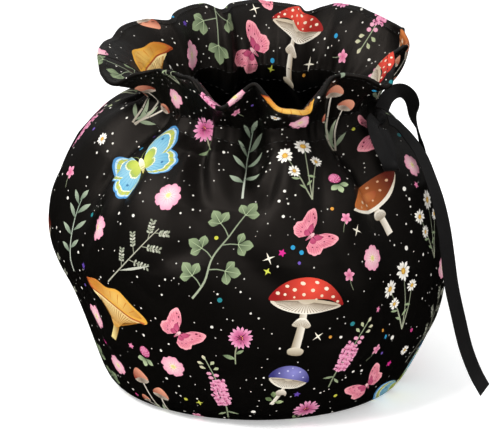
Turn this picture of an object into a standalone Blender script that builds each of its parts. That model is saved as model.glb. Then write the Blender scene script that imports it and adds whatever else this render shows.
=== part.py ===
"""A drawstring tea cosy, standing on its hem as it is worn, and hollow.

It is cut as a front and a back panel of padded cloth. Each panel runs in one piece from the hem,
turned under at the foot, over the belly and the shoulder to the ribbon casing at the neck, and on
into the ruffle. The panels are joined down both sides, and each side seam parts in a slot: a wide
one on the left (-X) and a long one on the right (+X). A narrow ribbon comes out of the casing on
the right, where it is tied in a knot with one small loop, a front tail and a back tail.

Lengths in the tables are in millimetres and angles in degrees. The angle is measured round the
upright axis from the right side (+X), and 270 is the front (-Y). Blender's unit is the metre.
"""

import math
from collections import namedtuple

import bpy
import bmesh
from mathutils import Vector

MM = 0.001

# Driving dimensions
CLOTH = 2.6            # thickness of the padded cloth
SEAM_GAP = 0.32        # what parts two pieces that meet
RIBBON_WIDTH = 6.4
RIBBON_THICK = 1.0
RIM_SPLIT = 2          # columns of faces between two turns of the rim
EVEN_BELOW = 8.0       # the section number below which the columns are evenly spaced
RUFFLE_ROWS = 7        # of faces from the casing to the rim
NECK_WAVE = 3.0        # how far the neck goes in and out with the ruffle's lobes
NECK_WAVE_FOOT = 10.0  # the section number that this wave fades out at

# The upright axis that the tables measure from, seen from the middle of the cloth's own box
AXIS_X = 5.25
AXIS_Y = -0.5

# The cloth's middle surface from the hem up, as heights and as radii on its four sides. "lift" is
# how far the cloth is held up on the left, and "dip" how far the front hangs lower.
Section = namedtuple("Section", "height right front left back lift dip")
SECTIONS = (
    Section(0.0, 55.0, 51.0, 56.0, 51.0, 0.0, 0.0),
    Section(0.0, 61.0, 56.5, 62.5, 56.5, 0.0, 0.0),
    Section(2.6, 66.4, 62.0, 69.4, 62.0, 0.0, 0.0),
    Section(9.0, 70.4, 68.4, 72.8, 68.4, 0.0, 0.0),
    Section(20.0, 75.8, 75.0, 76.4, 75.0, 0.0, 0.0),
    Section(34.0, 82.0, 81.0, 81.2, 81.0, 0.0, 0.0),
    Section(48.0, 84.8, 84.6, 86.6, 84.6, 0.0, 0.0),
    Section(61.0, 85.4, 86.4, 92.6, 86.4, 0.0, 0.0),
    Section(74.0, 84.0, 86.4, 95.8, 86.4, 0.0, 0.0),
    Section(87.0, 81.4, 84.0, 94.8, 84.0, 0.0, 0.0),
    Section(99.0, 77.8, 79.4, 91.4, 79.4, 1.0, 0.5),
    Section(109.0, 73.8, 72.8, 84.6, 72.8, 3.0, 1.0),
    Section(117.0, 68.0, 65.0, 75.6, 65.0, 6.0, 2.0),
    Section(123.0, 60.0, 57.6, 65.0, 57.6, 7.0, 2.5),
    Section(128.0, 53.6, 51.4, 55.4, 51.4, 5.0, 3.0),
    Section(134.0, 51.0, 49.0, 50.0, 49.0, 2.0, 3.0),
)
NECK = len(SECTIONS) - 1
# Section numbers at which the panel has a row of points
BODY_ROWS = (0, 1, 1.5, 2, 2.5, 3, 4, 5, 6, 7, 8, 9, 10, 10.5, 11, 11.5, 12, 12.5, 13, 13.5, 14, NECK)

# The ruffle's rim, a row at each place where it turns on its way round the neck. It stands in where
# the gathers crease it, and swings out and down in a lobe between two creases. "flare" is 0 where
# the cloth rises from the casing first, and 1 where it goes out first.
Rim = namedtuple("Rim", "angle radius height flare")
RIM = (
    Rim(3.0, 66.5, 157.0, 0.8),
    Rim(13.0, 66.5, 161.0, 1.0),
    Rim(23.0, 70.5, 159.0, 0.8),
    Rim(34.0, 68.0, 161.5, 0.3),
    Rim(46.0, 67.0, 164.0, 0.0),
    Rim(57.0, 67.5, 164.0, 0.0),
    Rim(63.0, 64.0, 162.5, 0.0),
    Rim(67.5, 57.5, 161.0, 0.0),
    Rim(73.0, 64.5, 162.0, 0.0),
    Rim(81.0, 70.5, 161.5, 0.0),
    Rim(92.0, 72.5, 162.5, 0.0),
    Rim(102.0, 68.5, 162.0, 0.0),
    Rim(108.0, 58.5, 161.5, 0.0),
    Rim(112.5, 66.5, 163.0, 0.0),
    Rim(120.0, 69.0, 162.0, 0.0),
    Rim(129.0, 64.0, 161.0, 0.0),
    Rim(136.0, 59.0, 159.5, 0.0),
    Rim(141.0, 68.5, 159.5, 0.0),
    Rim(149.0, 74.0, 157.5, 0.0),
    Rim(158.0, 73.5, 154.0, 0.0),
    Rim(166.0, 73.5, 154.0, 0.0),
    Rim(182.0, 72.0, 152.0, 0.0),
    Rim(196.0, 71.0, 147.0, 0.0),
    Rim(203.0, 68.5, 146.5, 0.0),
    Rim(210.0, 62.0, 151.5, 0.0),
    Rim(217.0, 57.0, 154.0, 0.0),
    Rim(229.0, 60.0, 156.0, 0.0),
    Rim(239.0, 64.0, 156.5, 0.0),
    Rim(246.0, 69.0, 156.5, 0.0),
    Rim(251.0, 71.5, 151.0, 0.0),
    Rim(256.0, 69.5, 145.5, 0.0),
    Rim(260.0, 60.0, 148.5, 0.0),
    Rim(267.0, 53.5, 152.5, 0.0),
    Rim(272.0, 60.0, 150.0, 0.0),
    Rim(276.0, 69.5, 146.0, 0.0),
    Rim(281.0, 71.5, 145.0, 0.0),
    Rim(287.0, 70.0, 144.5, 0.0),
    Rim(292.0, 66.0, 148.5, 0.0),
    Rim(300.0, 59.0, 153.5, 0.0),
    Rim(309.0, 56.0, 154.5, 0.0),
    Rim(315.0, 64.0, 153.5, 0.0),
    Rim(319.5, 71.5, 150.0, 0.0),
    Rim(325.0, 69.5, 154.0, 0.0),
    Rim(335.0, 64.0, 159.0, 0.0),
    Rim(348.0, 64.5, 159.5, 0.3),
)
RIM_IN = 53.0          # the rim's radius in its deepest crease and on its widest lobe
RIM_OUT = 72.0

# The gathers that the creases carry down the shoulder, "depth" deep at the neck, to their foot
Gather = namedtuple("Gather", "angle foot_angle depth foot")
GATHERS = (
    Gather(8.0, 12.0, 3.5, 10.0),
    Gather(35.0, 32.0, 4.0, 9.0),
    Gather(67.0, 64.0, 5.0, 8.0),
    Gather(108.0, 112.0, 5.5, 8.0),
    Gather(136.0, 139.0, 5.0, 8.5),
    Gather(176.0, 173.0, 3.5, 11.0),
    Gather(216.0, 206.0, 7.0, 7.5),
    Gather(238.0, 240.0, 3.0, 10.5),
    Gather(267.0, 262.0, 6.0, 8.5),
    Gather(295.0, 292.0, 3.0, 10.5),
    Gather(309.0, 315.0, 6.0, 7.5),
    Gather(342.0, 341.0, 4.0, 10.0),
)

GATHER_WIDTH = 6.0     # half the width of a gather's hollow in degrees at the neck
GATHER_SPREAD = 8.0    # and how much wider that is at its foot

# Soft folds and hollows of the belly, each from one section number to another
Fold = namedtuple("Fold", "angle foot_angle width depth top foot")
BELLY_FOLDS = (
    Fold(210.0, 214.0, 13.0, 3.2, 11.5, 5.0),
    Fold(244.0, 246.0, 10.0, 3.0, 13.0, 8.0),
    Fold(256.0, 281.0, 16.0, 2.2, 10.5, 5.5),
    Fold(283.0, 286.0, 10.0, 2.6, 13.0, 8.5),
    Fold(320.0, 316.0, 12.0, 2.8, 12.5, 4.0),
    Fold(336.0, 334.0, 10.0, 1.8, 10.0, 5.0),
    Fold(38.0, 42.0, 13.0, 2.8, 12.5, 5.5),
    Fold(84.0, 78.0, 14.0, 2.6, 12.5, 6.0),
    Fold(121.0, 126.0, 13.0, 3.0, 12.5, 5.5),
    Fold(150.0, 147.0, 12.0, 2.4, 12.0, 6.5),
)

# The slots that the side seams part in, by height, and the most that each edge stands off the seam
Slot = namedtuple("Slot", "low high half_width")
RIGHT_SLOT = Slot(57.0, 121.0, 8.5)
LEFT_SLOT = Slot(84.0, 128.0, 15.0)

# The ribbon, as points from the axis with the way that its flat side faces
Stop = namedtuple("Stop", "x y z face_x face_y face_z")
KNOT_AT = (52.5, -24.5, 130.5)
KNOT_SIZE = (8.0, 7.0, 5.6)
FRONT_TAIL = (
    Stop(56.6, -22.4, 129.2, 0.45, -0.45, 0.77),
    Stop(60.6, -20.0, 126.6, 0.50, -0.45, 0.74),
    Stop(64.2, -19.4, 122.8, 0.55, -0.45, 0.70),
    Stop(68.4, -20.8, 118.0, 0.60, -0.52, 0.60),
    Stop(72.4, -25.4, 112.0, 0.60, -0.65, 0.46),
    Stop(76.0, -32.4, 103.6, 0.52, -0.78, 0.34),
    Stop(79.2, -37.8, 93.6, 0.45, -0.87, 0.18),
    Stop(81.4, -40.2, 83.4, 0.35, -0.93, 0.06),
    Stop(83.0, -40.8, 72.4, 0.28, -0.96, 0.0),
    Stop(85.0, -40.0, 58.4, 0.25, -0.96, 0.0),
    Stop(88.4, -39.2, 43.8, 0.25, -0.96, 0.04),
    Stop(92.7, -38.6, 27.0, 0.25, -0.95, 0.08),
    Stop(97.2, -38.8, 15.4, 0.25, -0.94, 0.14),
    Stop(101.6, -40.6, 7.6, 0.25, -0.93, 0.20),
)
BACK_TAIL = (
    Stop(54.0, -21.2, 133.6, 0.10, -0.80, 0.50),
    Stop(56.0, -17.0, 137.0, 0.10, -0.85, 0.42),
    Stop(59.4, -11.8, 138.8, 0.10, -0.92, 0.34),
    Stop(63.6, -6.4, 138.2, 0.10, -0.97, 0.20),
    Stop(67.4, -1.0, 134.6, 0.10, -0.98, 0.12),
    Stop(69.6, 4.6, 129.4, 0.10, -0.98, 0.12),
    Stop(71.0, 11.0, 122.8, 0.30, -0.85, 0.35),
    Stop(73.0, 19.0, 114.6, 0.76, -0.25, 0.55),
    Stop(75.8, 27.0, 104.4, 0.90, 0.26, 0.30),
    Stop(78.6, 33.2, 92.0, 0.91, 0.37, 0.15),
    Stop(80.8, 36.6, 78.0, 0.91, 0.41, 0.05),
    Stop(82.4, 38.6, 62.0, 0.91, 0.42, 0.0),
    Stop(83.0, 39.8, 46.0, 0.91, 0.42, 0.0),
)
LOOP = (
    Stop(50.6, -28.9, 131.4, 0.62, -0.30, 0.72),
    Stop(49.3, -33.2, 131.0, 0.60, -0.34, 0.72),
    Stop(49.3, -38.2, 129.8, 0.48, -0.47, 0.74),
    Stop(50.8, -43.3, 126.4, 0.35, -0.66, 0.66),
    Stop(53.0, -46.4, 121.8, 0.36, -0.76, 0.54),
    Stop(55.2, -47.9, 117.4, 0.42, -0.80, 0.42),
    Stop(56.6, -47.9, 113.9, 0.25, -0.75, -0.60),
    Stop(57.4, -45.9, 112.4, 0.05, 0.10, -1.00),
    Stop(57.5, -43.9, 113.9, -0.45, 0.70, -0.50),
    Stop(56.9, -42.0, 117.0, -0.56, 0.60, -0.56),
    Stop(56.2, -38.7, 120.4, -0.62, 0.46, -0.63),
    Stop(55.1, -34.4, 124.2, -0.59, 0.32, -0.74),
    Stop(54.0, -30.4, 127.0, -0.60, 0.25, -0.75),
)
RIBBON_STEP = 5.0      # between points along a tail
LOOP_STEP = 2.4        # and along the loop


def blend(rows, place):
    """The values of a table at a fractional row number, on a smooth curve through its rows."""
    last = len(rows) - 1
    first = min(max(int(math.floor(place)), 0), last - 1)
    t = place - first
    before = rows[max(first - 1, 0)]
    start = rows[first]
    end = rows[first + 1]
    after = rows[min(first + 2, last)]
    weights = (
        -0.5 * t + t * t - 0.5 * t ** 3,
        1 - 2.5 * t * t + 1.5 * t ** 3,
        0.5 * t + 2 * t * t - 1.5 * t ** 3,
        -0.5 * t * t + 0.5 * t ** 3,
    )
    return [sum(w * v for w, v in zip(weights, column)) for column in zip(before, start, end, after)]


def turn_between(a, b):
    """The signed turn in degrees from angle a to angle b, from -180 to 180."""
    return (b - a + 180) % 360 - 180


def ease(t):
    """A smooth step from 0 to 1."""
    t = min(max(t, 0.0), 1.0)
    return t * t * (3 - 2 * t)


def meridian(angle, place):
    """(radius, height) of the plain, unfolded cloth at a section number."""
    row = Section(*blend(SECTIONS, place))
    c, s = math.cos(math.radians(angle)), math.sin(math.radians(angle))
    mean = (row.right + row.front + row.left + row.back) / 4
    oval = (row.right + row.left - row.front - row.back) / 4
    radius = mean + (row.right - row.left) / 2 * c + (row.back - row.front) / 2 * s
    radius += oval * (2 * c * c - 1)
    left_side = max(0.0, -c) ** 3
    front_side = max(0.0, -s) ** 3
    height = max(row.height, 0.0) + row.lift * left_side - row.dip * front_side
    return radius, height + CLOTH / 2


def rim_at(angle):
    """(radius, height, flare, swing) of the rim. Swing is 0 in a crease and 1 on a lobe."""
    count = len(RIM)
    before = max(range(count), key=lambda i: (RIM[i].angle - angle - 1e-6) % 360)
    span = (RIM[(before + 1) % count].angle - RIM[before].angle) % 360
    along = ((angle - RIM[before].angle) % 360) / span
    near = [RIM[(before + k) % count][1:] for k in (-1, 0, 1, 2)]
    radius, height, flare = blend(near, 1 + along)
    return radius, height, flare, (radius - RIM_IN) / (RIM_OUT - RIM_IN)


def hollow(angle, place):
    """How far the folds of the body draw the cloth in, in millimetres, at a section number."""
    swing = rim_at(angle)[3]
    total = NECK_WAVE * (0.5 - swing) * ease((place - NECK_WAVE_FOOT) / (NECK - 1 - NECK_WAVE_FOOT))
    for row in GATHERS:
        down = (NECK - place) / (NECK - row.foot)
        if down < 1:
            centre = row.angle + turn_between(row.angle, row.foot_angle) * down
            across = turn_between(centre, angle) / (GATHER_WIDTH + GATHER_SPREAD * down)
            total += row.depth * math.exp(-across * across) * math.sin(math.pi * (0.2 + 0.8 * down))
    for row in BELLY_FOLDS:
        down = (row.top - place) / (row.top - row.foot)
        if 0 < down < 1:
            centre = row.angle + turn_between(row.angle, row.foot_angle) * down
            across = turn_between(centre, angle) / row.width
            total += row.depth * math.exp(-across * across) * math.sin(math.pi * down) ** 0.8
    return total


def body_point(angle, place):
    """(radius, height) of the cloth's middle surface below the ruffle, with its folds."""
    radius, height = meridian(angle, place)
    if place > 3:
        r_low, z_low = meridian(angle, place - 0.2)
        r_high, z_high = meridian(angle, min(place + 0.2, NECK))
        rise = Vector((r_high - r_low, z_high - z_low)).normalized()
        depth = hollow(angle, place)
        radius -= depth * rise.y
        height += depth * rise.x
    return radius, height


def cloth_point(angle, place):
    """A point of the cloth's middle surface. From NECK to NECK + 1 it runs from casing to rim."""
    if place <= NECK:
        radius, height = body_point(angle, place)
    else:
        t = place - NECK
        neck_radius, neck_height = body_point(angle, NECK)
        rim_radius, rim_height, flare, swing = rim_at(angle)
        bend_radius = neck_radius + (rim_radius - neck_radius) * (0.15 + 0.1 * swing + 0.85 * flare)
        bend_height = neck_height + (rim_height - neck_height) * (0.72 - 0.6 * flare)
        weights = ((1 - t) ** 2, 2 * t * (1 - t), t * t)
        radius = weights[0] * neck_radius + weights[1] * bend_radius + weights[2] * rim_radius
        height = weights[0] * neck_height + weights[1] * bend_height + weights[2] * rim_height
    turn = math.radians(angle)
    return Vector((radius * math.cos(turn), radius * math.sin(turn), height))


def cloth_normal(angle, place):
    """The way that the cloth's outer side faces."""
    turn, step = 1.6, 0.14
    top = NECK + 1
    across = cloth_point(angle + turn, place) - cloth_point(angle - turn, place)
    up = cloth_point(angle, min(place + step, top)) - cloth_point(angle, max(place - step, 0.0))
    return across.cross(up).normalized()


def slot_half_width(slot, height):
    """How far each edge of a slot stands off its seam, at a height."""
    middle, half = (slot.low + slot.high) / 2, (slot.high - slot.low) / 2
    along = (height - middle) / half
    return slot.half_width * max(0.0, 1 - along * along) ** 0.85


def side_edge(side_angle, place, inward):
    """The angle of a panel's edge at a side seam. inward is +1 or -1, towards the panel's middle."""
    slot = RIGHT_SLOT if side_angle % 360 == 0 else LEFT_SLOT
    point = cloth_point(side_angle, place)
    stand_off = SEAM_GAP / 2
    if place < NECK:
        stand_off += slot_half_width(slot, point.z)
    return side_angle + inward * math.degrees(stand_off / math.hypot(point.x, point.y))


def column_shares(first_side, last_side):
    """Where a panel's columns stand between its two sides, 0 to 1, at the rim: on the rim's turns."""
    turns = sorted((row.angle - first_side) % 360 for row in RIM)
    turns = [0.0] + [turn for turn in turns if 2 < turn < last_side - first_side - 2]
    turns.append(last_side - first_side)
    shares = []
    for a, b in zip(turns, turns[1:]):
        shares += [(a + (b - a) * i / RIM_SPLIT) / turns[-1] for i in range(RIM_SPLIT)]
    return shares + [1.0]


def panel_grid(first_side, last_side):
    """Rows of (outer point, inner point) over one panel, from the hem to the rim."""
    places = list(BODY_ROWS) + [NECK + (i + 1) / RUFFLE_ROWS for i in range(RUFFLE_ROWS)]
    at_rim = column_shares(first_side, last_side)
    rows = []
    for place in places:
        start = side_edge(first_side, place, 1)
        end = side_edge(last_side, place, -1)
        row = []
        for column, rim_share in enumerate(at_rim):
            even_share = column / (len(at_rim) - 1)
            share = even_share + (rim_share - even_share) * ease((place - EVEN_BELOW) / 4)
            angle = start + (end - start) * share
            point = cloth_point(angle, place)
            facing = cloth_normal(angle, place)
            if place <= 1:
                facing = Vector((0, 0, -1))
            if column in (0, len(at_rim) - 1):
                along_rim = Vector((-point.y, point.x, 0)).normalized()
                facing = (facing - along_rim * facing.dot(along_rim)).normalized()
            half = facing * (CLOTH / 2)
            outer, inner = point + half, point - half
            outer.z = max(outer.z, 0.0)
            row.append((outer, inner))
        rows.append(row)
    return rows


def to_scene(point):
    """A point in millimetres from the axis, as metres from the origin."""
    return Vector((point[0] + AXIS_X, point[1] + AXIS_Y, point[2])) * MM


def plain_material(name, colour, roughness):
    material = bpy.data.materials.new(name)
    material.use_nodes = True
    shader = material.node_tree.nodes["Principled BSDF"]
    shader.inputs["Base Color"].default_value = (*colour, 1)
    shader.inputs["Roughness"].default_value = roughness
    shader.inputs["Metallic"].default_value = 0
    return material


def object_from(bm, name, material):
    bmesh.ops.recalc_face_normals(bm, faces=bm.faces)
    mesh = bpy.data.meshes.new(name)
    bm.to_mesh(mesh)
    bm.free()
    mesh.materials.append(material)
    mesh.shade_smooth()
    mesh.set_sharp_from_angle(angle=math.radians(60))
    made = bpy.data.objects.new(name, mesh)
    bpy.context.scene.collection.objects.link(made)
    return made


def cloth_panel(name, first_side, last_side, material):
    """One panel as a closed sheet: two skins, and a wall round their edge."""
    bm = bmesh.new()
    rows = panel_grid(first_side, last_side)
    skins = [[[bm.verts.new(to_scene(pair[k])) for pair in row] for row in rows] for k in (0, 1)]
    outer, inner = skins
    last_row, last_column = len(rows) - 1, len(rows[0]) - 1
    for i in range(last_row):
        for j in range(last_column):
            bm.faces.new((outer[i][j], outer[i][j + 1], outer[i + 1][j + 1], outer[i + 1][j]))
            bm.faces.new((inner[i][j], inner[i + 1][j], inner[i + 1][j + 1], inner[i][j + 1]))
    for j in range(last_column):
        bm.faces.new((outer[0][j], inner[0][j], inner[0][j + 1], outer[0][j + 1]))
        bm.faces.new((outer[last_row][j], outer[last_row][j + 1], inner[last_row][j + 1], inner[last_row][j]))
    for i in range(last_row):
        bm.faces.new((outer[i][0], outer[i + 1][0], inner[i + 1][0], inner[i][0]))
        bm.faces.new((outer[i][last_column], inner[i][last_column], inner[i + 1][last_column],
                      outer[i + 1][last_column]))
    return object_from(bm, name, material)


def ribbon_stations(stops, step):
    """Evenly spaced (point, facing) along a smooth curve through a ribbon's stops."""
    fine = [blend(stops, i / 12) for i in range(12 * (len(stops) - 1) + 1)]
    points = [Vector(row[:3]) for row in fine]
    lengths = [0.0]
    for a, b in zip(points, points[1:]):
        lengths.append(lengths[-1] + (b - a).length)
    steps = round(lengths[-1] / step)
    stations = []
    for i in range(steps + 1):
        want = lengths[-1] * i / steps
        k = next((n for n in range(len(lengths) - 1) if lengths[n + 1] >= want - 1e-9), len(lengths) - 2)
        t = (want - lengths[k]) / (lengths[k + 1] - lengths[k])
        row = [a + (b - a) * t for a, b in zip(fine[k], fine[k + 1])]
        stations.append((Vector(row[:3]), Vector(row[3:])))
    return stations


def ribbon_strip(name, stops, step, material):
    """A flat strip along its stops, cut square at both ends."""
    stations = ribbon_stations(stops, step)
    bm = bmesh.new()
    rings = []
    for i, (point, face) in enumerate(stations):
        along = stations[min(i + 1, len(stations) - 1)][0] - stations[max(i - 1, 0)][0]
        across = along.cross(face).normalized()
        facing = across.cross(along).normalized()
        side, up = across * (RIBBON_WIDTH / 2), facing * (RIBBON_THICK / 2)
        corners = (point + side + up, point - side + up, point - side - up, point + side - up)
        rings.append([bm.verts.new(to_scene(corner)) for corner in corners])
    for a, b in zip(rings, rings[1:]):
        for k in range(4):
            bm.faces.new((a[k], a[(k + 1) % 4], b[(k + 1) % 4], b[k]))
    bm.faces.new(rings[0])
    bm.faces.new(reversed(rings[-1]))
    return object_from(bm, name, material)


def ribbon_knot(name, at, size, material):
    """The wrap that the ribbon's strands pass through: a rounded lump, waisted round its middle."""
    bm = bmesh.new()
    bmesh.ops.create_uvsphere(bm, u_segments=16, v_segments=10, radius=0.5)
    for vert in bm.verts:
        waist = 1 - 0.12 * math.exp(-(vert.co.x / 0.12) ** 2)
        vert.co = Vector((vert.co.x * size[0], vert.co.y * size[1] * waist, vert.co.z * size[2] * waist))
        vert.co = to_scene(vert.co + Vector(at))
    return object_from(bm, name, material)


def main():
    for thing in list(bpy.data.objects):
        bpy.data.objects.remove(thing)
    cloth = plain_material("printed black cloth", (0.035, 0.032, 0.033), 0.8)
    ribbon = plain_material("black ribbon", (0.02, 0.02, 0.021), 0.5)
    cloth_panel("front_panel", 180, 360, cloth)
    cloth_panel("back_panel", 0, 180, cloth)
    ribbon_knot("ribbon_knot", KNOT_AT, KNOT_SIZE, ribbon)
    ribbon_strip("ribbon_front_tail", FRONT_TAIL, RIBBON_STEP, ribbon)
    ribbon_strip("ribbon_back_tail", BACK_TAIL, RIBBON_STEP, ribbon)
    ribbon_strip("ribbon_loop", LOOP, LOOP_STEP, ribbon)


main()
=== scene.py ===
# %% [markdown]
# # A drawstring tea cosy
#
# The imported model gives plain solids: two padded panels, and a narrow ribbon in four pieces. This
# lesson dresses them. It makes a thin printed cloth on the same folds, its rolled edges and its
# stitches, and a ribbed ribbon with a real knot. Everything is in metres in Blender, and the tables
# are in millimetres from the cosy's upright axis, as they are where the solids are made.
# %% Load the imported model
import math
from collections import namedtuple

import bpy
import numpy as np
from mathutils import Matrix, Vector
from mathutils.geometry import delaunay_2d_cdt


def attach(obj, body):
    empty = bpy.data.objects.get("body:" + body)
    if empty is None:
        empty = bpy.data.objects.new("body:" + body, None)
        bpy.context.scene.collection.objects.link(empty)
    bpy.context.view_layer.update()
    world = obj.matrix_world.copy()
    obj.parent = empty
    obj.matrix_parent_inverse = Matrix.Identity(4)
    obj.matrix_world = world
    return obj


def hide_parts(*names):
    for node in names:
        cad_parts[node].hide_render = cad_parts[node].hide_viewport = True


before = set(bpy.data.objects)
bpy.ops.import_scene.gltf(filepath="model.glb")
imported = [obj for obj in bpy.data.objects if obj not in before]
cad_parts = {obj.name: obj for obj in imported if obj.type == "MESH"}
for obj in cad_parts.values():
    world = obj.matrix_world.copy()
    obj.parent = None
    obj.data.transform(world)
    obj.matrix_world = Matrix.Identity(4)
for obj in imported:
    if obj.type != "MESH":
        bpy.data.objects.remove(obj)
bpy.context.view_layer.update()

# %% [markdown]
# ## The camera
#
# The camera looks straight at the front, from a little above. Its place follows from how flat the
# ring of the neck looks, and its lens from the scale of the picture, which is 500 by 430 pixels. A
# small shift puts the foot of the axis on the same pixel as in the photograph.
# %% Camera
MM = 0.001
AXIS_X = 5.25
AXIS_Y = -0.5
LOOK_AT_HEIGHT = 79.0
CAMERA_DISTANCE = 950.0
CAMERA_ELEVATION = math.radians(17.5)
PICTURE_WIDTH = 500
PICTURE_HEIGHT = 430
MM_PER_PIXEL = 0.46
FOOT_PIXEL = (260, 372)
SENSOR = 36.0


def add_object(name, data):
    """An object with its data, in the scene."""
    made = bpy.data.objects.new(name, data)
    bpy.context.scene.collection.objects.link(made)
    return made


camera_data = bpy.data.cameras.new("camera")
camera = add_object("camera", camera_data)
bpy.context.scene.camera = camera
camera_data.sensor_width = SENSOR
camera_data.lens = CAMERA_DISTANCE / MM_PER_PIXEL * SENSOR / PICTURE_WIDTH
camera.location = (
    AXIS_X * MM,
    (AXIS_Y - CAMERA_DISTANCE * math.cos(CAMERA_ELEVATION)) * MM,
    (LOOK_AT_HEIGHT + CAMERA_DISTANCE * math.sin(CAMERA_ELEVATION)) * MM,
)
camera.rotation_euler = (math.pi / 2 - CAMERA_ELEVATION, 0.0, 0.0)
foot_depth = CAMERA_DISTANCE + LOOK_AT_HEIGHT * math.sin(CAMERA_ELEVATION)
foot_drop = LOOK_AT_HEIGHT * math.cos(CAMERA_ELEVATION) / foot_depth
foot_drop_pixels = foot_drop * camera_data.lens / SENSOR * PICTURE_WIDTH
camera_data.shift_x = 0.5 - FOOT_PIXEL[0] / PICTURE_WIDTH
camera_data.shift_y = (FOOT_PIXEL[1] - PICTURE_HEIGHT / 2 - foot_drop_pixels) / PICTURE_WIDTH
print("lens", round(camera_data.lens, 1),
      "shift", round(camera_data.shift_x, 4), round(camera_data.shift_y, 4))

# %% [markdown]
# ## Small helpers
#
# Colours are written as they look on a screen, and Blender mixes light in linear values, so each is
# turned once here. A material is a Principled BSDF whose fixed values are set on its own sockets.
# %% Colours and materials
def linear(colour):
    """A screen colour, written as six hexadecimal digits, as three linear values."""
    parts = [int(colour[i:i + 2], 16) / 255 for i in (0, 2, 4)]
    return np.array([p / 12.92 if p <= 0.04045 else ((p + 0.055) / 1.055) ** 2.4 for p in parts])


def new_material(name, settings):
    """A node material, and its tree, with the Principled BSDF's fixed values set."""
    material = bpy.data.materials.new(name)
    material.use_nodes = True
    shader = material.node_tree.nodes["Principled BSDF"]
    for socket, value in settings.items():
        shader.inputs[socket].default_value = value
    return material, material.node_tree, shader


def node(tree, kind, **settings):
    """A new node, with its properties set."""
    made = tree.nodes.new(kind)
    for name, value in settings.items():
        setattr(made, name, value)
    return made


def feed(tree, socket, value):
    """A socket gets a number of its own, or a link from another socket."""
    if isinstance(value, (int, float)):
        socket.default_value = value
    else:
        tree.links.new(value, socket)


def maths(tree, operation, *values):
    """A Math node's output. Each value is a number or a socket."""
    made = node(tree, "ShaderNodeMath", operation=operation)
    for socket, value in zip(made.inputs, values):
        feed(tree, socket, value)
    return made.outputs[0]


def new_group(name, inputs, outputs):
    """An empty shader group with named sockets. A number input has a default value."""
    group = bpy.data.node_groups.new(name, "ShaderNodeTree")
    for label, default in inputs.items():
        kind = "NodeSocketVector" if default is None else "NodeSocketFloat"
        socket = group.interface.new_socket(name=label, in_out="INPUT", socket_type=kind)
        if default is not None:
            socket.default_value = default
    for label in outputs:
        group.interface.new_socket(name=label, in_out="OUTPUT", socket_type="NodeSocketFloat")
    return group, group.nodes.new("NodeGroupInput"), group.nodes.new("NodeGroupOutput")


def use_group(tree, group, **values):
    """A group placed in a material, with its own values and links."""
    made = node(tree, "ShaderNodeGroup", node_tree=group)
    for label, value in values.items():
        feed(tree, made.inputs[label.replace("_", " ")], value)
    return made


# %% [markdown]
# ## Threads
#
# Both materials are woven, so one group draws threads for both. It reads the surface's own map,
# which is in millimetres of flat cloth, so the weave follows each fold. Warp and weft are two rows
# of half circles, and a checker lets one pass over the other. A second group gives the slow, faint
# change of tone that handling and light dust leave on dark cloth.
# %% Shader groups
def weave_group():
    """Threads over and under one another: their height, and where the weft lies on top."""
    group, given, out = new_group(
        "plain weave", {"Map": None, "Warp pitch": 0.7, "Weft pitch": 0.7, "Unevenness": 0.15},
        ("Height", "Weft share"))
    link = group.links.new
    noise = node(group, "ShaderNodeTexNoise", noise_dimensions="2D")
    noise.inputs["Scale"].default_value = 0.35
    noise.inputs["Detail"].default_value = 3.0
    link(given.outputs["Map"], noise.inputs["Vector"])
    split = node(group, "ShaderNodeSeparateXYZ")
    link(given.outputs["Map"], split.inputs[0])
    drift = maths(group, "MULTIPLY", noise.outputs[0], given.outputs["Unevenness"])
    across, along = (
        maths(group, "ADD", maths(group, "DIVIDE", split.outputs[k], given.outputs[pitch]), drift)
        for k, pitch in enumerate(("Warp pitch", "Weft pitch")))
    warp, weft = (
        maths(group, "ABSOLUTE", maths(group, "SINE", maths(group, "MULTIPLY", place, math.pi)))
        for place in (across, along))
    parity = maths(group, "ADD", maths(group, "FLOOR", across), maths(group, "FLOOR", along))
    over = maths(group, "PINGPONG", parity, 1.0)
    warp_part = maths(group, "MULTIPLY", warp, maths(group, "SUBTRACT", 1.0, over))
    weft_part = maths(group, "MULTIPLY", weft, over)
    low = maths(group, "MULTIPLY", maths(group, "MINIMUM", warp, weft), 0.5)
    link(maths(group, "MAXIMUM", maths(group, "ADD", warp_part, weft_part), low), out.inputs["Height"])
    link(over, out.inputs["Weft share"])
    return group


def wear_group():
    """A slow change of tone, and a finer one for where light dust lies."""
    group, given, out = new_group("tone and wear", {"Size": 12.0, "Strength": 0.2}, ("Tone", "Wear"))
    link = group.links.new
    place = node(group, "ShaderNodeTexCoord")
    broad = node(group, "ShaderNodeTexNoise")
    broad.inputs["Detail"].default_value = 4.0
    link(place.outputs["Object"], broad.inputs["Vector"])
    link(maths(group, "DIVIDE", 1000.0, given.outputs["Size"]), broad.inputs["Scale"])
    fine = node(group, "ShaderNodeTexNoise")
    fine.inputs["Scale"].default_value = 900.0
    link(place.outputs["Object"], fine.inputs["Vector"])
    centred = maths(group, "SUBTRACT", broad.outputs[0], 0.5)
    drift = maths(group, "MULTIPLY", centred, given.outputs["Strength"])
    link(maths(group, "ADD", 1.0, drift), out.inputs["Tone"])
    link(maths(group, "MULTIPLY", fine.outputs[0], broad.outputs[0]), out.inputs["Wear"])
    return group


def flat_map(tree):
    """The place on the flat cloth, in millimetres."""
    uv = node(tree, "ShaderNodeUVMap", uv_map="flat cloth")
    scale = node(tree, "ShaderNodeVectorMath", operation="MULTIPLY")
    scale.inputs[1].default_value = (1000.0, 1000.0, 1.0)
    tree.links.new(uv.outputs[0], scale.inputs[0])
    return scale.outputs[0]


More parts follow.
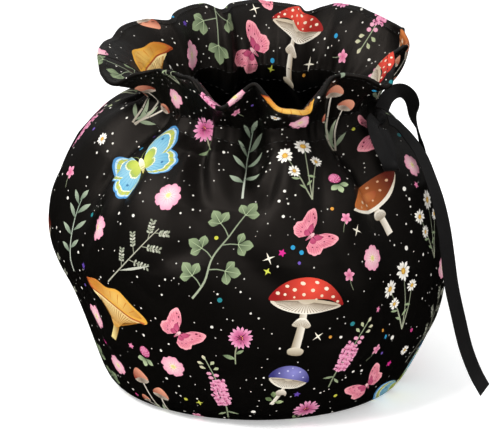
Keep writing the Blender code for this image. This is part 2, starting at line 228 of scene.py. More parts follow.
def add_bump(tree, shader, height, strength, distance):
    """A bump on the shader's normal. The distance is in metres."""
    bump = node(tree, "ShaderNodeBump")
    bump.inputs["Strength"].default_value = strength
    bump.inputs["Distance"].default_value = distance
    tree.links.new(height, bump.inputs["Height"])
    tree.links.new(bump.outputs[0], shader.inputs["Normal"])


WEAVE = weave_group()
WEAR = wear_group()
print("shader groups:", WEAVE.name, "and", WEAR.name)

# %% [markdown]
# ## The ribbon's route
#
# The four solids already lie where it hangs, and the same points are used here: the place and the
# way that the flat side faces. A ribbon bends only across its flat side, which is why each point
# has its own facing.
# %% Ribbon routes
Stop = namedtuple("Stop", "x y z face_x face_y face_z")
KNOT_AT = (52.5, -24.5, 130.5)
RIBBON_WIDTH = 6.4
RIBBON_CLOTH = 0.55
FRONT_TAIL = (
    Stop(56.6, -22.4, 129.2, 0.45, -0.45, 0.77),
    Stop(60.6, -20.0, 126.6, 0.50, -0.45, 0.74),
    Stop(64.2, -19.4, 122.8, 0.55, -0.45, 0.70),
    Stop(68.4, -20.8, 118.0, 0.60, -0.52, 0.60),
    Stop(72.4, -25.4, 112.0, 0.60, -0.65, 0.46),
    Stop(76.0, -32.4, 103.6, 0.52, -0.78, 0.34),
    Stop(79.2, -37.8, 93.6, 0.45, -0.87, 0.18),
    Stop(81.4, -40.2, 83.4, 0.35, -0.93, 0.06),
    Stop(83.0, -40.8, 72.4, 0.28, -0.96, 0.0),
    Stop(85.0, -40.0, 58.4, 0.25, -0.96, 0.0),
    Stop(88.4, -39.2, 43.8, 0.25, -0.96, 0.04),
    Stop(92.7, -38.6, 27.0, 0.25, -0.95, 0.08),
    Stop(97.2, -38.8, 15.4, 0.25, -0.94, 0.14),
    Stop(101.6, -40.6, 7.6, 0.25, -0.93, 0.20),
)
BACK_TAIL = (
    Stop(54.0, -21.2, 133.6, 0.10, -0.80, 0.50),
    Stop(56.0, -17.0, 137.0, 0.10, -0.85, 0.42),
    Stop(59.4, -11.8, 138.8, 0.10, -0.92, 0.34),
    Stop(63.6, -6.4, 138.2, 0.10, -0.97, 0.20),
    Stop(67.4, -1.0, 134.6, 0.10, -0.98, 0.12),
    Stop(69.6, 4.6, 129.4, 0.10, -0.98, 0.12),
    Stop(71.0, 11.0, 122.8, 0.30, -0.85, 0.35),
    Stop(73.0, 19.0, 114.6, 0.76, -0.25, 0.55),
    Stop(75.8, 27.0, 104.4, 0.90, 0.26, 0.30),
    Stop(78.6, 33.2, 92.0, 0.91, 0.37, 0.15),
    Stop(80.8, 36.6, 78.0, 0.91, 0.41, 0.05),
    Stop(82.4, 38.6, 62.0, 0.91, 0.42, 0.0),
    Stop(83.0, 39.8, 46.0, 0.91, 0.42, 0.0),
)
LOOP = (
    Stop(50.6, -28.9, 131.4, 0.62, -0.30, 0.72),
    Stop(49.3, -33.2, 131.0, 0.60, -0.34, 0.72),
    Stop(49.3, -38.2, 129.8, 0.48, -0.47, 0.74),
    Stop(50.8, -43.3, 126.4, 0.35, -0.66, 0.66),
    Stop(53.0, -46.4, 121.8, 0.36, -0.76, 0.54),
    Stop(55.2, -47.9, 117.4, 0.42, -0.80, 0.42),
    Stop(56.6, -47.9, 113.9, 0.25, -0.75, -0.60),
    Stop(57.4, -45.9, 112.4, 0.05, 0.10, -1.00),
    Stop(57.5, -43.9, 113.9, -0.45, 0.70, -0.50),
    Stop(56.9, -42.0, 117.0, -0.56, 0.60, -0.56),
    Stop(56.2, -38.7, 120.4, -0.62, 0.46, -0.63),
    Stop(55.1, -34.4, 124.2, -0.59, 0.32, -0.74),
    Stop(54.0, -30.4, 127.0, -0.60, 0.25, -0.75),
)


def spline(t, rows):
    """Values between the second and third of four rows, on a smooth curve through all four."""
    weights = (-0.5 * t + t * t - 0.5 * t ** 3, 1 - 2.5 * t * t + 1.5 * t ** 3,
               0.5 * t + 2 * t * t - 1.5 * t ** 3, -0.5 * t * t + 0.5 * t ** 3)
    return sum(w[:, None] * row for w, row in zip(weights, rows))


def blend(table, place):
    """Values of a table's rows at fractional row numbers, on a smooth curve through the rows."""
    last = len(table) - 1
    first = np.clip(np.floor(place).astype(int), 0, last - 1)
    return spline(place - first, [table[np.clip(first + k, 0, last)] for k in (-1, 0, 1, 2)])


def unit(vectors):
    """The same directions at length 1."""
    return vectors / np.maximum(np.linalg.norm(vectors, axis=-1, keepdims=True), 1e-12)


def stations(stops, step):
    """Evenly spaced points, travel directions and facings along a route, in millimetres."""
    fine = blend(np.array(stops), np.linspace(0, len(stops) - 1, 20 * len(stops)))
    lengths = np.concatenate([[0], np.cumsum(np.linalg.norm(np.diff(fine[:, :3], axis=0), axis=1))])
    wanted = np.linspace(0, lengths[-1], round(lengths[-1] / step) + 1)
    rows = np.stack([np.interp(wanted, lengths, fine[:, k]) for k in range(6)], axis=1)
    travel = unit(np.gradient(rows[:, :3], axis=0))
    across = unit(np.cross(travel, rows[:, 3:]))
    return rows[:, :3], travel, across, np.cross(across, travel), lengths[-1]


print("ribbon runs:", [round(stations(route, 2.0)[4], 1) for route in (FRONT_TAIL, BACK_TAIL, LOOP)], "mm")

# %% [markdown]
# ## The ribbon's cloth
#
# Grosgrain is a stiff ribbon with ribs across it and a corded edge. The strip is a closed band with
# a thin section: a bead along each edge, a slight cup between them, and a cut end that is a little
# out of square. The ribs are too fine for faces, so they are a bump on the strip's own map, and the
# colour is painted darker in the hollows between them, as painted shade.
# %% Ribbon material
RIB_PITCH = 0.62


def ribbon_material():
    """Black grosgrain: ribs and threads as a bump, and painted shade that darkens the colour between the
    ribs.
    """
    material, tree, shader = new_material("black grosgrain ribbon", {
        "Roughness": 0.55, "Sheen Weight": 0.01, "Sheen Roughness": 0.4, "Specular IOR Level": 0.12})
    link = tree.links.new
    place = flat_map(tree)
    split = node(tree, "ShaderNodeSeparateXYZ")
    link(place, split.inputs[0])
    rib_turn = maths(tree, "MULTIPLY", split.outputs[1], math.pi / RIB_PITCH)
    ribs = maths(tree, "ABSOLUTE", maths(tree, "SINE", rib_turn))
    threads = use_group(tree, WEAVE, Map=place, Warp_pitch=0.16, Weft_pitch=RIB_PITCH, Unevenness=0.1)
    height = maths(tree, "ADD", maths(tree, "MULTIPLY", ribs, 0.8),
                   maths(tree, "MULTIPLY", threads.outputs["Height"], 0.2))
    add_bump(tree, shader, height, strength=0.55, distance=0.00012)
    tone = use_group(tree, WEAR, Size=9.0, Strength=0.5)
    # Painted shade: the colour is darker in the hollows between the ribs and lighter on their crests, times a
    # slow random tone.
    rib_shade_and_tone = maths(tree, "MULTIPLY", maths(tree, "ADD", 0.8, maths(tree, "MULTIPLY", ribs, 0.35)),
                     tone.outputs["Tone"])
    mix = node(tree, "ShaderNodeMix", data_type="RGBA")
    mix.inputs["A"].default_value = (0.0, 0.0, 0.0, 1.0)
    mix.inputs["B"].default_value = (*linear("0d0c0c"), 1.0)
    mix.clamp_factor = False
    link(rib_shade_and_tone, mix.inputs["Factor"])
    link(mix.outputs["Result"], shader.inputs["Base Color"])
    rough = maths(tree, "ADD", 0.48, maths(tree, "MULTIPLY", tone.outputs["Wear"], 0.3))
    link(rough, shader.inputs["Roughness"])
    return material


RIBBON = ribbon_material()


# %% [markdown]
# Each strip is a row of small sections along its route. It sways a little off the route and tilts a
# little, because a ribbon that has been tied never hangs quite straight.
# %% Ribbon strips
def to_scene(points):
    """Points in millimetres from the axis, as metres from the origin."""
    return (np.asarray(points) + (AXIS_X, AXIS_Y, 0.0)) * MM


def mesh_object(name, points, faces, uv, material):
    """An object from points in millimetres, its faces, and a flat map in millimetres."""
    mesh = bpy.data.meshes.new(name)
    mesh.from_pydata(to_scene(points).tolist(), [], [tuple(int(i) for i in face) for face in faces])
    layer = mesh.uv_layers.new(name="flat cloth")
    corners = np.empty(len(mesh.loops), np.int32)
    mesh.loops.foreach_get("vertex_index", corners)
    layer.data.foreach_set("uv", (np.asarray(uv)[corners] * MM).astype(np.float32).ravel())
    mesh.materials.append(material)
    mesh.shade_smooth()
    return add_object(name, mesh)


def ring_faces(rows, around):
    """Faces of a tube of rings, and a cap at each end."""
    faces = []
    for i in range(rows - 1):
        for k in range(around):
            a, b = i * around + k, i * around + (k + 1) % around
            faces.append((a, b, b + around, a + around))
    faces.append(tuple(reversed(range(around))))
    faces.append(tuple(range((rows - 1) * around, rows * around)))
    return faces


RibbonSection = namedtuple("RibbonSection", "across top")
# Half of the ribbon's section, from its middle to its corded edge, as shares of the half width
HALF_SECTION = (
    RibbonSection(0.0, 0.72),
    RibbonSection(0.35, 0.74),
    RibbonSection(0.7, 0.82),
    RibbonSection(0.88, 0.9),
    RibbonSection(0.96, 1.1),
    RibbonSection(1.0, 0.6),
)
CUP = 0.22
FRAY = 0.09
# How far the underside's map lies from the upper side's
UNDERSIDE_SHIFT = 10.0


def ribbon_strip(name, stops, step, cut_slope, sway, seed):
    """A closed ribbon along its stops. cut_slope is how far out of square its far end is cut."""
    rng = np.random.default_rng(seed)
    middle, travel, across, facing, length = stations(stops, step)
    along = np.linspace(0, length, len(middle))
    ripple = sway * (np.sin(along / 7.3 + seed) + 0.6 * np.sin(along / 3.1 + 2 * seed))
    tilt = 0.05 * np.sin(along / 11.0 + seed) + 0.03 * np.sin(along / 4.7)
    across, facing = (across * np.cos(tilt)[:, None] + facing * np.sin(tilt)[:, None],
                      facing * np.cos(tilt)[:, None] - across * np.sin(tilt)[:, None])
    half = [(-row.across, row.top) for row in reversed(HALF_SECTION[1:])] + [tuple(r) for r in HALF_SECTION]
    section = half + [(x, -top) for x, top in reversed(half)]
    points, uv = [], []
    for i in range(len(middle)):
        near_cut = max(0.0, 1 - (length - along[i]) / (2.5 * step))
        for x, top in section:
            cup = CUP * x * x
            loose = rng.uniform(-FRAY, FRAY) if i == len(middle) - 1 else 0.0
            fray = near_cut * (cut_slope * x + loose)
            points.append(middle[i] + across[i] * x * RIBBON_WIDTH / 2 + travel[i] * fray
                          + facing[i] * (top * RIBBON_CLOTH / 2 - cup + ripple[i]))
            uv.append((x * RIBBON_WIDTH / 2 + (UNDERSIDE_SHIFT if top < 0 else 0.0), along[i]))
    made = mesh_object(name, points, ring_faces(len(middle), len(section)), uv, RIBBON)
    made.data.set_sharp_from_angle(angle=math.radians(70))
    return made, to_scene(middle), length


front_tail, front_path, front_length = ribbon_strip(
    "ribbon_front_tail_cloth", FRONT_TAIL, step=1.6, cut_slope=1.3, sway=0.10, seed=3)
back_tail, back_path, back_length = ribbon_strip(
    "ribbon_back_tail_cloth", BACK_TAIL, step=1.6, cut_slope=-1.1, sway=0.10, seed=5)
loop, loop_path, loop_length = ribbon_strip(
    "ribbon_loop_cloth", LOOP, step=1.2, cut_slope=0.0, sway=0.05, seed=8)
print("ribbon lengths:", round(front_length, 1), round(back_length, 1), round(loop_length, 1), "mm")

# %% [markdown]
# ## The knot
#
# A knot in a flat ribbon is one turn of the same ribbon drawn tight round the strands, so it looks
# like a plump band with creases that run in under its edges. A band is swept round a squashed ring,
# with two more turns across it, and all three are crumpled by a few waves of different lengths.
# %% Knot
KnotTurn = namedtuple("KnotTurn", "lean radius_long radius_flat width shift crumple")
KNOT_TURNS = (
    KnotTurn(0.10, 3.5, 2.3, 5.6, 0.0, 0.35),
    KnotTurn(0.75, 3.1, 2.6, 4.4, 0.5, 0.30),
    KnotTurn(-0.60, 2.9, 2.0, 4.2, -0.6, 0.30),
)
KNOT_ALONG = np.array([0.80, 0.42, -0.42])
KNOT_OUT = np.array([0.60, -0.45, 0.66])
KNOT_CLOTH = 0.28
AROUND = 36
COLUMNS = 9


def knot_turn(turn, seed):
    """One closed band round the strands: points and faces, in millimetres from the axis."""
    along = unit(KNOT_ALONG)
    out = unit(KNOT_OUT - along * np.dot(KNOT_OUT, along))
    side = np.cross(along, out)
    strand = along * math.cos(turn.lean) + side * math.sin(turn.lean)
    wide = side * math.cos(turn.lean) - along * math.sin(turn.lean)
    rings = []
    for i in range(AROUND):
        a = 2 * math.pi * i / AROUND
        for layer in (1, -1):
            for j in range(COLUMNS):
                x = (2 * j / (COLUMNS - 1) - 1) * layer
                bulge = 1 - 0.45 * abs(x) ** 2.5
                waves = math.sin(5 * a + 3 * x + seed) + 0.6 * math.sin(9 * a - 4 * x)
                crumple = turn.crumple * waves * 0.5
                thick = KNOT_CLOTH * layer
                ring = (wide * math.cos(a) * (turn.radius_long * bulge + crumple + thick)
                        + out * math.sin(a) * (turn.radius_flat * bulge + crumple + thick))
                rings.append(np.array(KNOT_AT) + ring + strand * (x * turn.width / 2 + turn.shift))
    per_ring = 2 * COLUMNS
    faces = []
    for i in range(AROUND):
        for k in range(per_ring):
            a, b = i * per_ring + k, i * per_ring + (k + 1) % per_ring
            c = ((i + 1) % AROUND) * per_ring
            faces.append((a, c + k, c + (k + 1) % per_ring, b))
    uv = [(k * 0.7, i * 0.6) for i in range(AROUND) for k in range(per_ring)]
    return rings, faces, uv


knot_points, knot_faces, knot_uv = [], [], []
for seed, turn in enumerate(KNOT_TURNS):
    points, faces, uv = knot_turn(turn, seed)
    knot_faces += [[i + len(knot_points) for i in face] for face in faces]
    knot_points += points
    knot_uv += uv
knot = mesh_object("ribbon_knot_cloth", knot_points, knot_faces, knot_uv, RIBBON)
print("knot faces:", len(knot_faces), "size:", [round(x / MM, 1) for x in knot.dimensions], "mm")

# %% [markdown]
# ## The cloth's form
#
# The cosy is a surface of turning: a meridian from hem to neck, pulled out of round by the body
# under it, folded where it is slack, and gathered at the casing. The ruffle above it swings in and
# out in lobes. These are the tables and rules of the solids, worked out on arrays, so that a
# hundred thousand points take a moment.
# %% Cloth tables
Section = namedtuple("Section", "height right front left back lift dip")
SECTIONS = np.array((
    Section(0.0, 55.0, 51.0, 56.0, 51.0, 0.0, 0.0),
    Section(0.0, 61.0, 56.5, 62.5, 56.5, 0.0, 0.0),
    Section(2.6, 66.4, 62.0, 69.4, 62.0, 0.0, 0.0),
    Section(9.0, 70.4, 68.4, 72.8, 68.4, 0.0, 0.0),
    Section(20.0, 75.8, 75.0, 76.4, 75.0, 0.0, 0.0),
    Section(34.0, 82.0, 81.0, 81.2, 81.0, 0.0, 0.0),
    Section(48.0, 84.8, 84.6, 86.6, 84.6, 0.0, 0.0),
    Section(61.0, 85.4, 86.4, 92.6, 86.4, 0.0, 0.0),
    Section(74.0, 84.0, 86.4, 95.8, 86.4, 0.0, 0.0),
    Section(87.0, 81.4, 84.0, 94.8, 84.0, 0.0, 0.0),
    Section(99.0, 77.8, 79.4, 91.4, 79.4, 1.0, 0.5),
    Section(109.0, 73.8, 72.8, 84.6, 72.8, 3.0, 1.0),
    Section(117.0, 68.0, 65.0, 75.6, 65.0, 6.0, 2.0),
    Section(123.0, 60.0, 57.6, 65.0, 57.6, 7.0, 2.5),
    Section(128.0, 53.6, 51.4, 55.4, 51.4, 5.0, 3.0),
    Section(134.0, 51.0, 49.0, 50.0, 49.0, 2.0, 3.0),
))
NECK = len(SECTIONS) - 1
TOP = NECK + 1
Rim = namedtuple("Rim", "angle radius height flare")
RIM = np.array((
    Rim(3.0, 66.5, 157.0, 0.8),
    Rim(13.0, 66.5, 161.0, 1.0),
    Rim(23.0, 70.5, 159.0, 0.8),
    Rim(34.0, 68.0, 161.5, 0.3),
    Rim(46.0, 67.0, 164.0, 0.0),
    Rim(57.0, 67.5, 164.0, 0.0),
    Rim(63.0, 64.0, 162.5, 0.0),
    Rim(67.5, 57.5, 161.0, 0.0),
    Rim(73.0, 64.5, 162.0, 0.0),
    Rim(81.0, 70.5, 161.5, 0.0),
    Rim(92.0, 72.5, 162.5, 0.0),
    Rim(102.0, 68.5, 162.0, 0.0),
    Rim(108.0, 58.5, 161.5, 0.0),
    Rim(112.5, 66.5, 163.0, 0.0),
    Rim(120.0, 69.0, 162.0, 0.0),
    Rim(129.0, 64.0, 161.0, 0.0),
    Rim(136.0, 59.0, 159.5, 0.0),
    Rim(141.0, 68.5, 159.5, 0.0),
    Rim(149.0, 74.0, 157.5, 0.0),
    Rim(158.0, 73.5, 154.0, 0.0),
    Rim(166.0, 73.5, 154.0, 0.0),
    Rim(182.0, 72.0, 152.0, 0.0),
    Rim(196.0, 71.0, 147.0, 0.0),
    Rim(203.0, 68.5, 146.5, 0.0),
    Rim(210.0, 62.0, 151.5, 0.0),
    Rim(217.0, 57.0, 154.0, 0.0),
    Rim(229.0, 60.0, 156.0, 0.0),
    Rim(239.0, 64.0, 156.5, 0.0),
    Rim(246.0, 69.0, 156.5, 0.0),
    Rim(251.0, 71.5, 151.0, 0.0),
    Rim(256.0, 69.5, 145.5, 0.0),
    Rim(260.0, 60.0, 148.5, 0.0),
    Rim(267.0, 53.5, 152.5, 0.0),
    Rim(272.0, 60.0, 150.0, 0.0),
    Rim(276.0, 69.5, 146.0, 0.0),
    Rim(281.0, 71.5, 145.0, 0.0),
    Rim(287.0, 70.0, 144.5, 0.0),
    Rim(292.0, 66.0, 148.5, 0.0),
    Rim(300.0, 59.0, 153.5, 0.0),
    Rim(309.0, 56.0, 154.5, 0.0),
    Rim(315.0, 64.0, 153.5, 0.0),
    Rim(319.5, 71.5, 150.0, 0.0),
    Rim(325.0, 69.5, 154.0, 0.0),
    Rim(335.0, 64.0, 159.0, 0.0),
    Rim(348.0, 64.5, 159.5, 0.3),
))
RIM_IN = 53.0
RIM_OUT = 72.0
Gather = namedtuple("Gather", "angle foot_angle depth foot")
GATHERS = (
    Gather(8.0, 12.0, 3.5, 10.0),
    Gather(35.0, 32.0, 4.0, 9.0),
    Gather(67.0, 64.0, 5.0, 8.0),
    Gather(108.0, 112.0, 5.5, 8.0),
    Gather(136.0, 139.0, 5.0, 8.5),
    Gather(176.0, 173.0, 3.5, 11.0),
    Gather(216.0, 206.0, 7.0, 7.5),
    Gather(238.0, 240.0, 3.0, 10.5),
    Gather(267.0, 262.0, 6.0, 8.5),
    Gather(295.0, 292.0, 3.0, 10.5),
    Gather(309.0, 315.0, 6.0, 7.5),
    Gather(342.0, 341.0, 4.0, 10.0),
)
Fold = namedtuple("Fold", "angle foot_angle width depth top foot")
BELLY_FOLDS = (
    Fold(210.0, 214.0, 13.0, 3.2, 11.5, 5.0),
    Fold(244.0, 246.0, 10.0, 3.0, 13.0, 8.0),
    Fold(256.0, 281.0, 16.0, 2.2, 10.5, 5.5),
    Fold(283.0, 286.0, 10.0, 2.6, 13.0, 8.5),
    Fold(320.0, 316.0, 12.0, 2.8, 12.5, 4.0),
    Fold(336.0, 334.0, 10.0, 1.8, 10.0, 5.0),
    Fold(38.0, 42.0, 13.0, 2.8, 12.5, 5.5),
    Fold(84.0, 78.0, 14.0, 2.6, 12.5, 6.0),
    Fold(121.0, 126.0, 13.0, 3.0, 12.5, 5.5),
    Fold(150.0, 147.0, 12.0, 2.4, 12.0, 6.5),
)
GATHER_WIDTH = 6.0
GATHER_SPREAD = 8.0
NECK_WAVE = 3.0
NECK_WAVE_FOOT = 10.0
SOLID_CLOTH = 2.6
print("rows:", len(SECTIONS), "sections,", len(RIM), "turns of the rim,", len(GATHERS), "gathers")


# %% [markdown]
# The middle of the cloth comes first, as one rule from an angle and a section number to a point. The
# folds press it in along its own facing. Above the casing it stands up, and then leans out to the
# rim, along a bent line.
# %% Cloth middle surface
def ease(t):
    """A smooth step from 0 to 1."""
    t = np.clip(t, 0.0, 1.0)
    return t * t * (3 - 2 * t)


def turn_between(a, b):
    """The signed turn in degrees from angle a to angle b."""
    return (b - a + 180) % 360 - 180


def meridian(angle, place):
    """Radius and height of the plain, unfolded cloth at section numbers."""
    row = Section(*blend(SECTIONS, place).T)
    c, s = np.cos(np.radians(angle)), np.sin(np.radians(angle))
    mean = (row.right + row.front + row.left + row.back) / 4
    oval = (row.right + row.left - row.front - row.back) / 4
    radius = mean + (row.right - row.left) / 2 * c + (row.back - row.front) / 2 * s + oval * (2 * c * c - 1)
    height = (np.maximum(row.height, 0.0) + row.lift * np.maximum(0, -c) ** 3
              - row.dip * np.maximum(0, -s) ** 3)
    return radius, height + SOLID_CLOTH / 2


def rim_at(angle):
    """Radius, height, flare and swing of the rim. Swing is 0 in a crease and 1 on a lobe."""
    count = len(RIM)
    angle = angle % 360
    before = (np.searchsorted(RIM[:, 0], angle, side="right") - 1) % count
    span = (RIM[(before + 1) % count, 0] - RIM[before, 0]) % 360
    t = ((angle - RIM[before, 0]) % 360) / span
    radius, height, flare = spline(t, [RIM[(before + k) % count, 1:] for k in (-1, 0, 1, 2)]).T
    return radius, height, flare, (radius - RIM_IN) / (RIM_OUT - RIM_IN)


def hollow(angle, place):
    """How far the folds of the body draw the cloth in."""
    swing = rim_at(angle)[3]
    total = NECK_WAVE * (0.5 - swing) * ease((place - NECK_WAVE_FOOT) / (NECK - 1 - NECK_WAVE_FOOT))
    for row in GATHERS:
        down = (NECK - place) / (NECK - row.foot)
        centre = row.angle + turn_between(row.angle, row.foot_angle) * down
        across = turn_between(centre, angle) / (GATHER_WIDTH + GATHER_SPREAD * down)
        total += (down < 1) * row.depth * np.exp(-across * across) * np.sin(np.pi * (0.2 + 0.8 * down))
    for row in BELLY_FOLDS:
        down = (row.top - place) / (row.top - row.foot)
        centre = row.angle + turn_between(row.angle, row.foot_angle) * down
        across = turn_between(centre, angle) / row.width
        arch = np.sin(np.pi * np.clip(down, 0, 1)) ** 0.8
        total += row.depth * np.exp(-across * across) * arch
    return total


def body_point(angle, place):
    """Radius and height of the folded cloth below the ruffle."""
    radius, height = meridian(angle, place)
    r_low, z_low = meridian(angle, np.maximum(place - 0.2, 0))
    r_high, z_high = meridian(angle, np.minimum(place + 0.2, NECK))
    rise = unit(np.stack([r_high - r_low, z_high - z_low], axis=1))
    depth = np.where(place > 3, hollow(angle, place), 0.0)
    return radius - depth * rise[:, 1], height + depth * rise[:, 0]


def cloth_middle(angle, place):
    """Points of the cloth's middle surface. From NECK to TOP it runs from casing to rim."""
    radius, height = body_point(angle, np.minimum(place, NECK))
    t = np.maximum(place - NECK, 0.0)
    rim_radius, rim_height, flare, swing = rim_at(angle)
    bend_radius = radius + (rim_radius - radius) * (0.15 + 0.1 * swing + 0.85 * flare)
    bend_height = height + (rim_height - height) * (0.72 - 0.6 * flare)
    weights = ((1 - t) ** 2, 2 * t * (1 - t), t * t)
    radius = weights[0] * radius + weights[1] * bend_radius + weights[2] * rim_radius
    height = weights[0] * height + weights[1] * bend_height + weights[2] * rim_height
    turn = np.radians(angle)
    return np.stack([radius * np.cos(turn), radius * np.sin(turn), height], axis=1)


def facing_at(angle, place, turn=1.6, step=0.14):
    """The way that the cloth's outer side faces."""
    across = cloth_middle(angle + turn, place) - cloth_middle(angle - turn, place)
    above = cloth_middle(angle, np.minimum(place + step, TOP))
    up = above - cloth_middle(angle, np.maximum(place - step, 0.0))
    return unit(np.cross(across, up)), unit(up)


sample_turns = np.arange(0.0, 360.0, 2.0)
rim_ring = cloth_middle(sample_turns, np.full_like(sample_turns, float(TOP)))
print("rim height:", rim_ring[:, 2].min().round(1), "to", rim_ring[:, 2].max().round(1), "mm")

# %% [markdown]
# ## A flat map of the cloth
#
# A print lies on flat cloth, so each panel is laid out flat first. Across the map runs the angle
# round the cosy, and up it runs the length along the cloth: from the middle of the hem's fold, up
# the outside, over the rim's fold, and down the inside. One rule turns a spot of the map into a
# point, so the outside, the rolled rim and the inside are one skin with no joins.
# %% Map of the cloth
CLOTH = 2.0
ROLL = CLOTH / 2
FOLD_RUN = math.pi * ROLL
MAP_MM_PER_DEGREE = 1.5
LENGTH_SAMPLES = np.linspace(0, TOP, 321)


def mean_lengths():
    """Length along the cloth at each sampled section number, averaged round the cosy."""
    runs = []
    for angle in np.arange(0.0, 360.0, 15.0):
        line = cloth_middle(np.full_like(LENGTH_SAMPLES, angle), LENGTH_SAMPLES)
        runs.append(np.concatenate([[0], np.cumsum(np.linalg.norm(np.diff(line, axis=0), axis=1))]))
    return np.mean(runs, axis=0)


LENGTHS = mean_lengths()
RUN_UP = LENGTHS[-1]
# The middle of the rim's fold, which is half way up the map
HALF_WAY = RUN_UP + FOLD_RUN / 2
RUN_TO_NECK = np.interp(NECK, LENGTH_SAMPLES, LENGTHS)
MAP_BOTTOM = -FOLD_RUN / 2
MAP_TOP = 2 * RUN_UP + FOLD_RUN * 1.5
PRINT_TOP = RUN_UP + FOLD_RUN + (RUN_UP - RUN_TO_NECK) + 3.0


def unfold(run):
    """Section number, and turn through the cloth's thickness, at lengths up the map."""
    folded = np.clip(run - RUN_UP, 0, FOLD_RUN) / FOLD_RUN
    after = np.clip(run - (2 * RUN_UP + FOLD_RUN), 0, FOLD_RUN / 2) / FOLD_RUN
    before = np.clip(-run, 0, FOLD_RUN / 2) / FOLD_RUN
    up = np.where(run <= HALF_WAY, run, 2 * RUN_UP + FOLD_RUN - run)
    place = np.interp(np.clip(up, 0, RUN_UP), LENGTHS, LENGTH_SAMPLES)
    return place, np.pi * (folded + after - before)


print("cloth from hem to rim:", RUN_UP.round(1), "mm, to the neck:", RUN_TO_NECK.round(1), "mm")

# %% [markdown]
# ## Small folds
#
# The tables give the folds that show from a step away. A drawn-up casing also throws many small
# pleats that die out in a finger's width, and padded cloth is never quite even. Both are added as
# waves of uneven length. The creases that catch the eye at the front are listed one by one, and
# more are scattered over the body. Each row of stitches pulls a shallow groove.
# %% Pleats and unevenness
Pleats = namedtuple("Pleats", "count drift depth below above")
SMALL_PLEATS = Pleats(61, 2.3, 0.45, 9.0, 6.0)
LARGE_PLEATS = Pleats(29, 1.7, 0.95, 19.0, 9.0)
UNEVENNESS = 0.3
# Waves round the body: how many, how fast they climb, how deep, and where they start
SLACK = ((7, 41.0, 1.0, 0.4), (11, -29.0, 0.8, 1.9), (16, 53.0, 0.55, 3.1), (23, -19.0, 0.4, 4.4),
         (6, -13.0, 0.35, 2.2))
Crease = namedtuple("Crease", "angle run lean half_length half_width depth")
# The creases that show at the front. A negative depth is a soft ridge beside a crease
FRONT_CREASES = (
    Crease(247.0, 139.0, -14, 20.0, 4.2, 1.9), Crease(255.0, 118.0, -34, 22.0, 5.5, 1.6),
    Crease(240.0, 134.0, -8, 14.0, 4.5, -1.3), Crease(263.0, 137.0, -20, 13.0, 4.6, -1.5),
    Crease(274.0, 131.0, 22, 14.0, 4.0, 1.4), Crease(281.0, 139.0, 8, 12.0, 4.5, -1.2),
    Crease(225.0, 126.0, 6, 20.0, 4.2, 1.7), Crease(218.0, 112.0, -10, 18.0, 5.0, -1.2),
    Crease(210.0, 120.0, 12, 18.0, 4.0, 1.3), Crease(293.0, 128.0, 16, 18.0, 4.4, 1.6),
    Crease(301.0, 118.0, 26, 15.0, 5.0, -1.2), Crease(312.0, 127.0, 4, 18.0, 4.2, 1.5),
    Crease(270.0, 92.0, -52, 20.0, 6.0, 1.0), Crease(244.0, 96.0, 62, 16.0, 6.0, 0.9),
    Crease(292.0, 84.0, -58, 18.0, 6.5, -0.9), Crease(233.0, 60.0, 24, 18.0, 6.0, 1.0),
    Crease(312.0, 62.0, -24, 18.0, 6.0, 1.1), Crease(268.0, 45.0, 74, 18.0, 6.0, 0.7),
)
CREASE_STRENGTH = 1.5
CREASE_COUNT = 54
CREASE_SEED = 21
CREASE_REACH = 45.0
MM_PER_DEGREE = 1.42


def scattered_creases(count, seed):
    """Creases all over the body: steep below the casing, and at any lean on the belly."""
    rng = np.random.default_rng(seed)
    made = []
    for _ in range(count):
        run = rng.uniform(24.0, RUN_TO_NECK - 8.0)
        spread = 18.0 + 45.0 * (run < 100.0)
        made.append(Crease(rng.uniform(0, 360), run, rng.normal(0, spread), rng.uniform(9, 20),
                           rng.uniform(2.6, 5.5), rng.choice((-1, 1)) * rng.uniform(0.3, 0.95)))
    return made


CREASES = np.array(FRONT_CREASES + tuple(scattered_creases(CREASE_COUNT, CREASE_SEED)))


def crease_depth(angle, run_up):
    """How deep the creases press the cloth in."""
    total = np.zeros_like(angle)
    for row in CREASES:
        crease = Crease(*row)
        side = turn_between(crease.angle, angle) * MM_PER_DEGREE
        rise = run_up - crease.run
        near = (np.abs(side) < CREASE_REACH) & (np.abs(rise) < CREASE_REACH)
        c, s = math.cos(math.radians(crease.lean)), math.sin(math.radians(crease.lean))
        along = (rise[near] * c + side[near] * s) / crease.half_length
        across = (side[near] * c - rise[near] * s) / crease.half_width
        total[near] += crease.depth * np.exp(-along * along - across * across)
    return total


RIM_STITCH_INSET = 2.2
RIM_GROOVE = 0.22
CASING_LINES = (0.6, -7.6)
CASING_GROOVE = 0.14
FLUTTER = 0.16


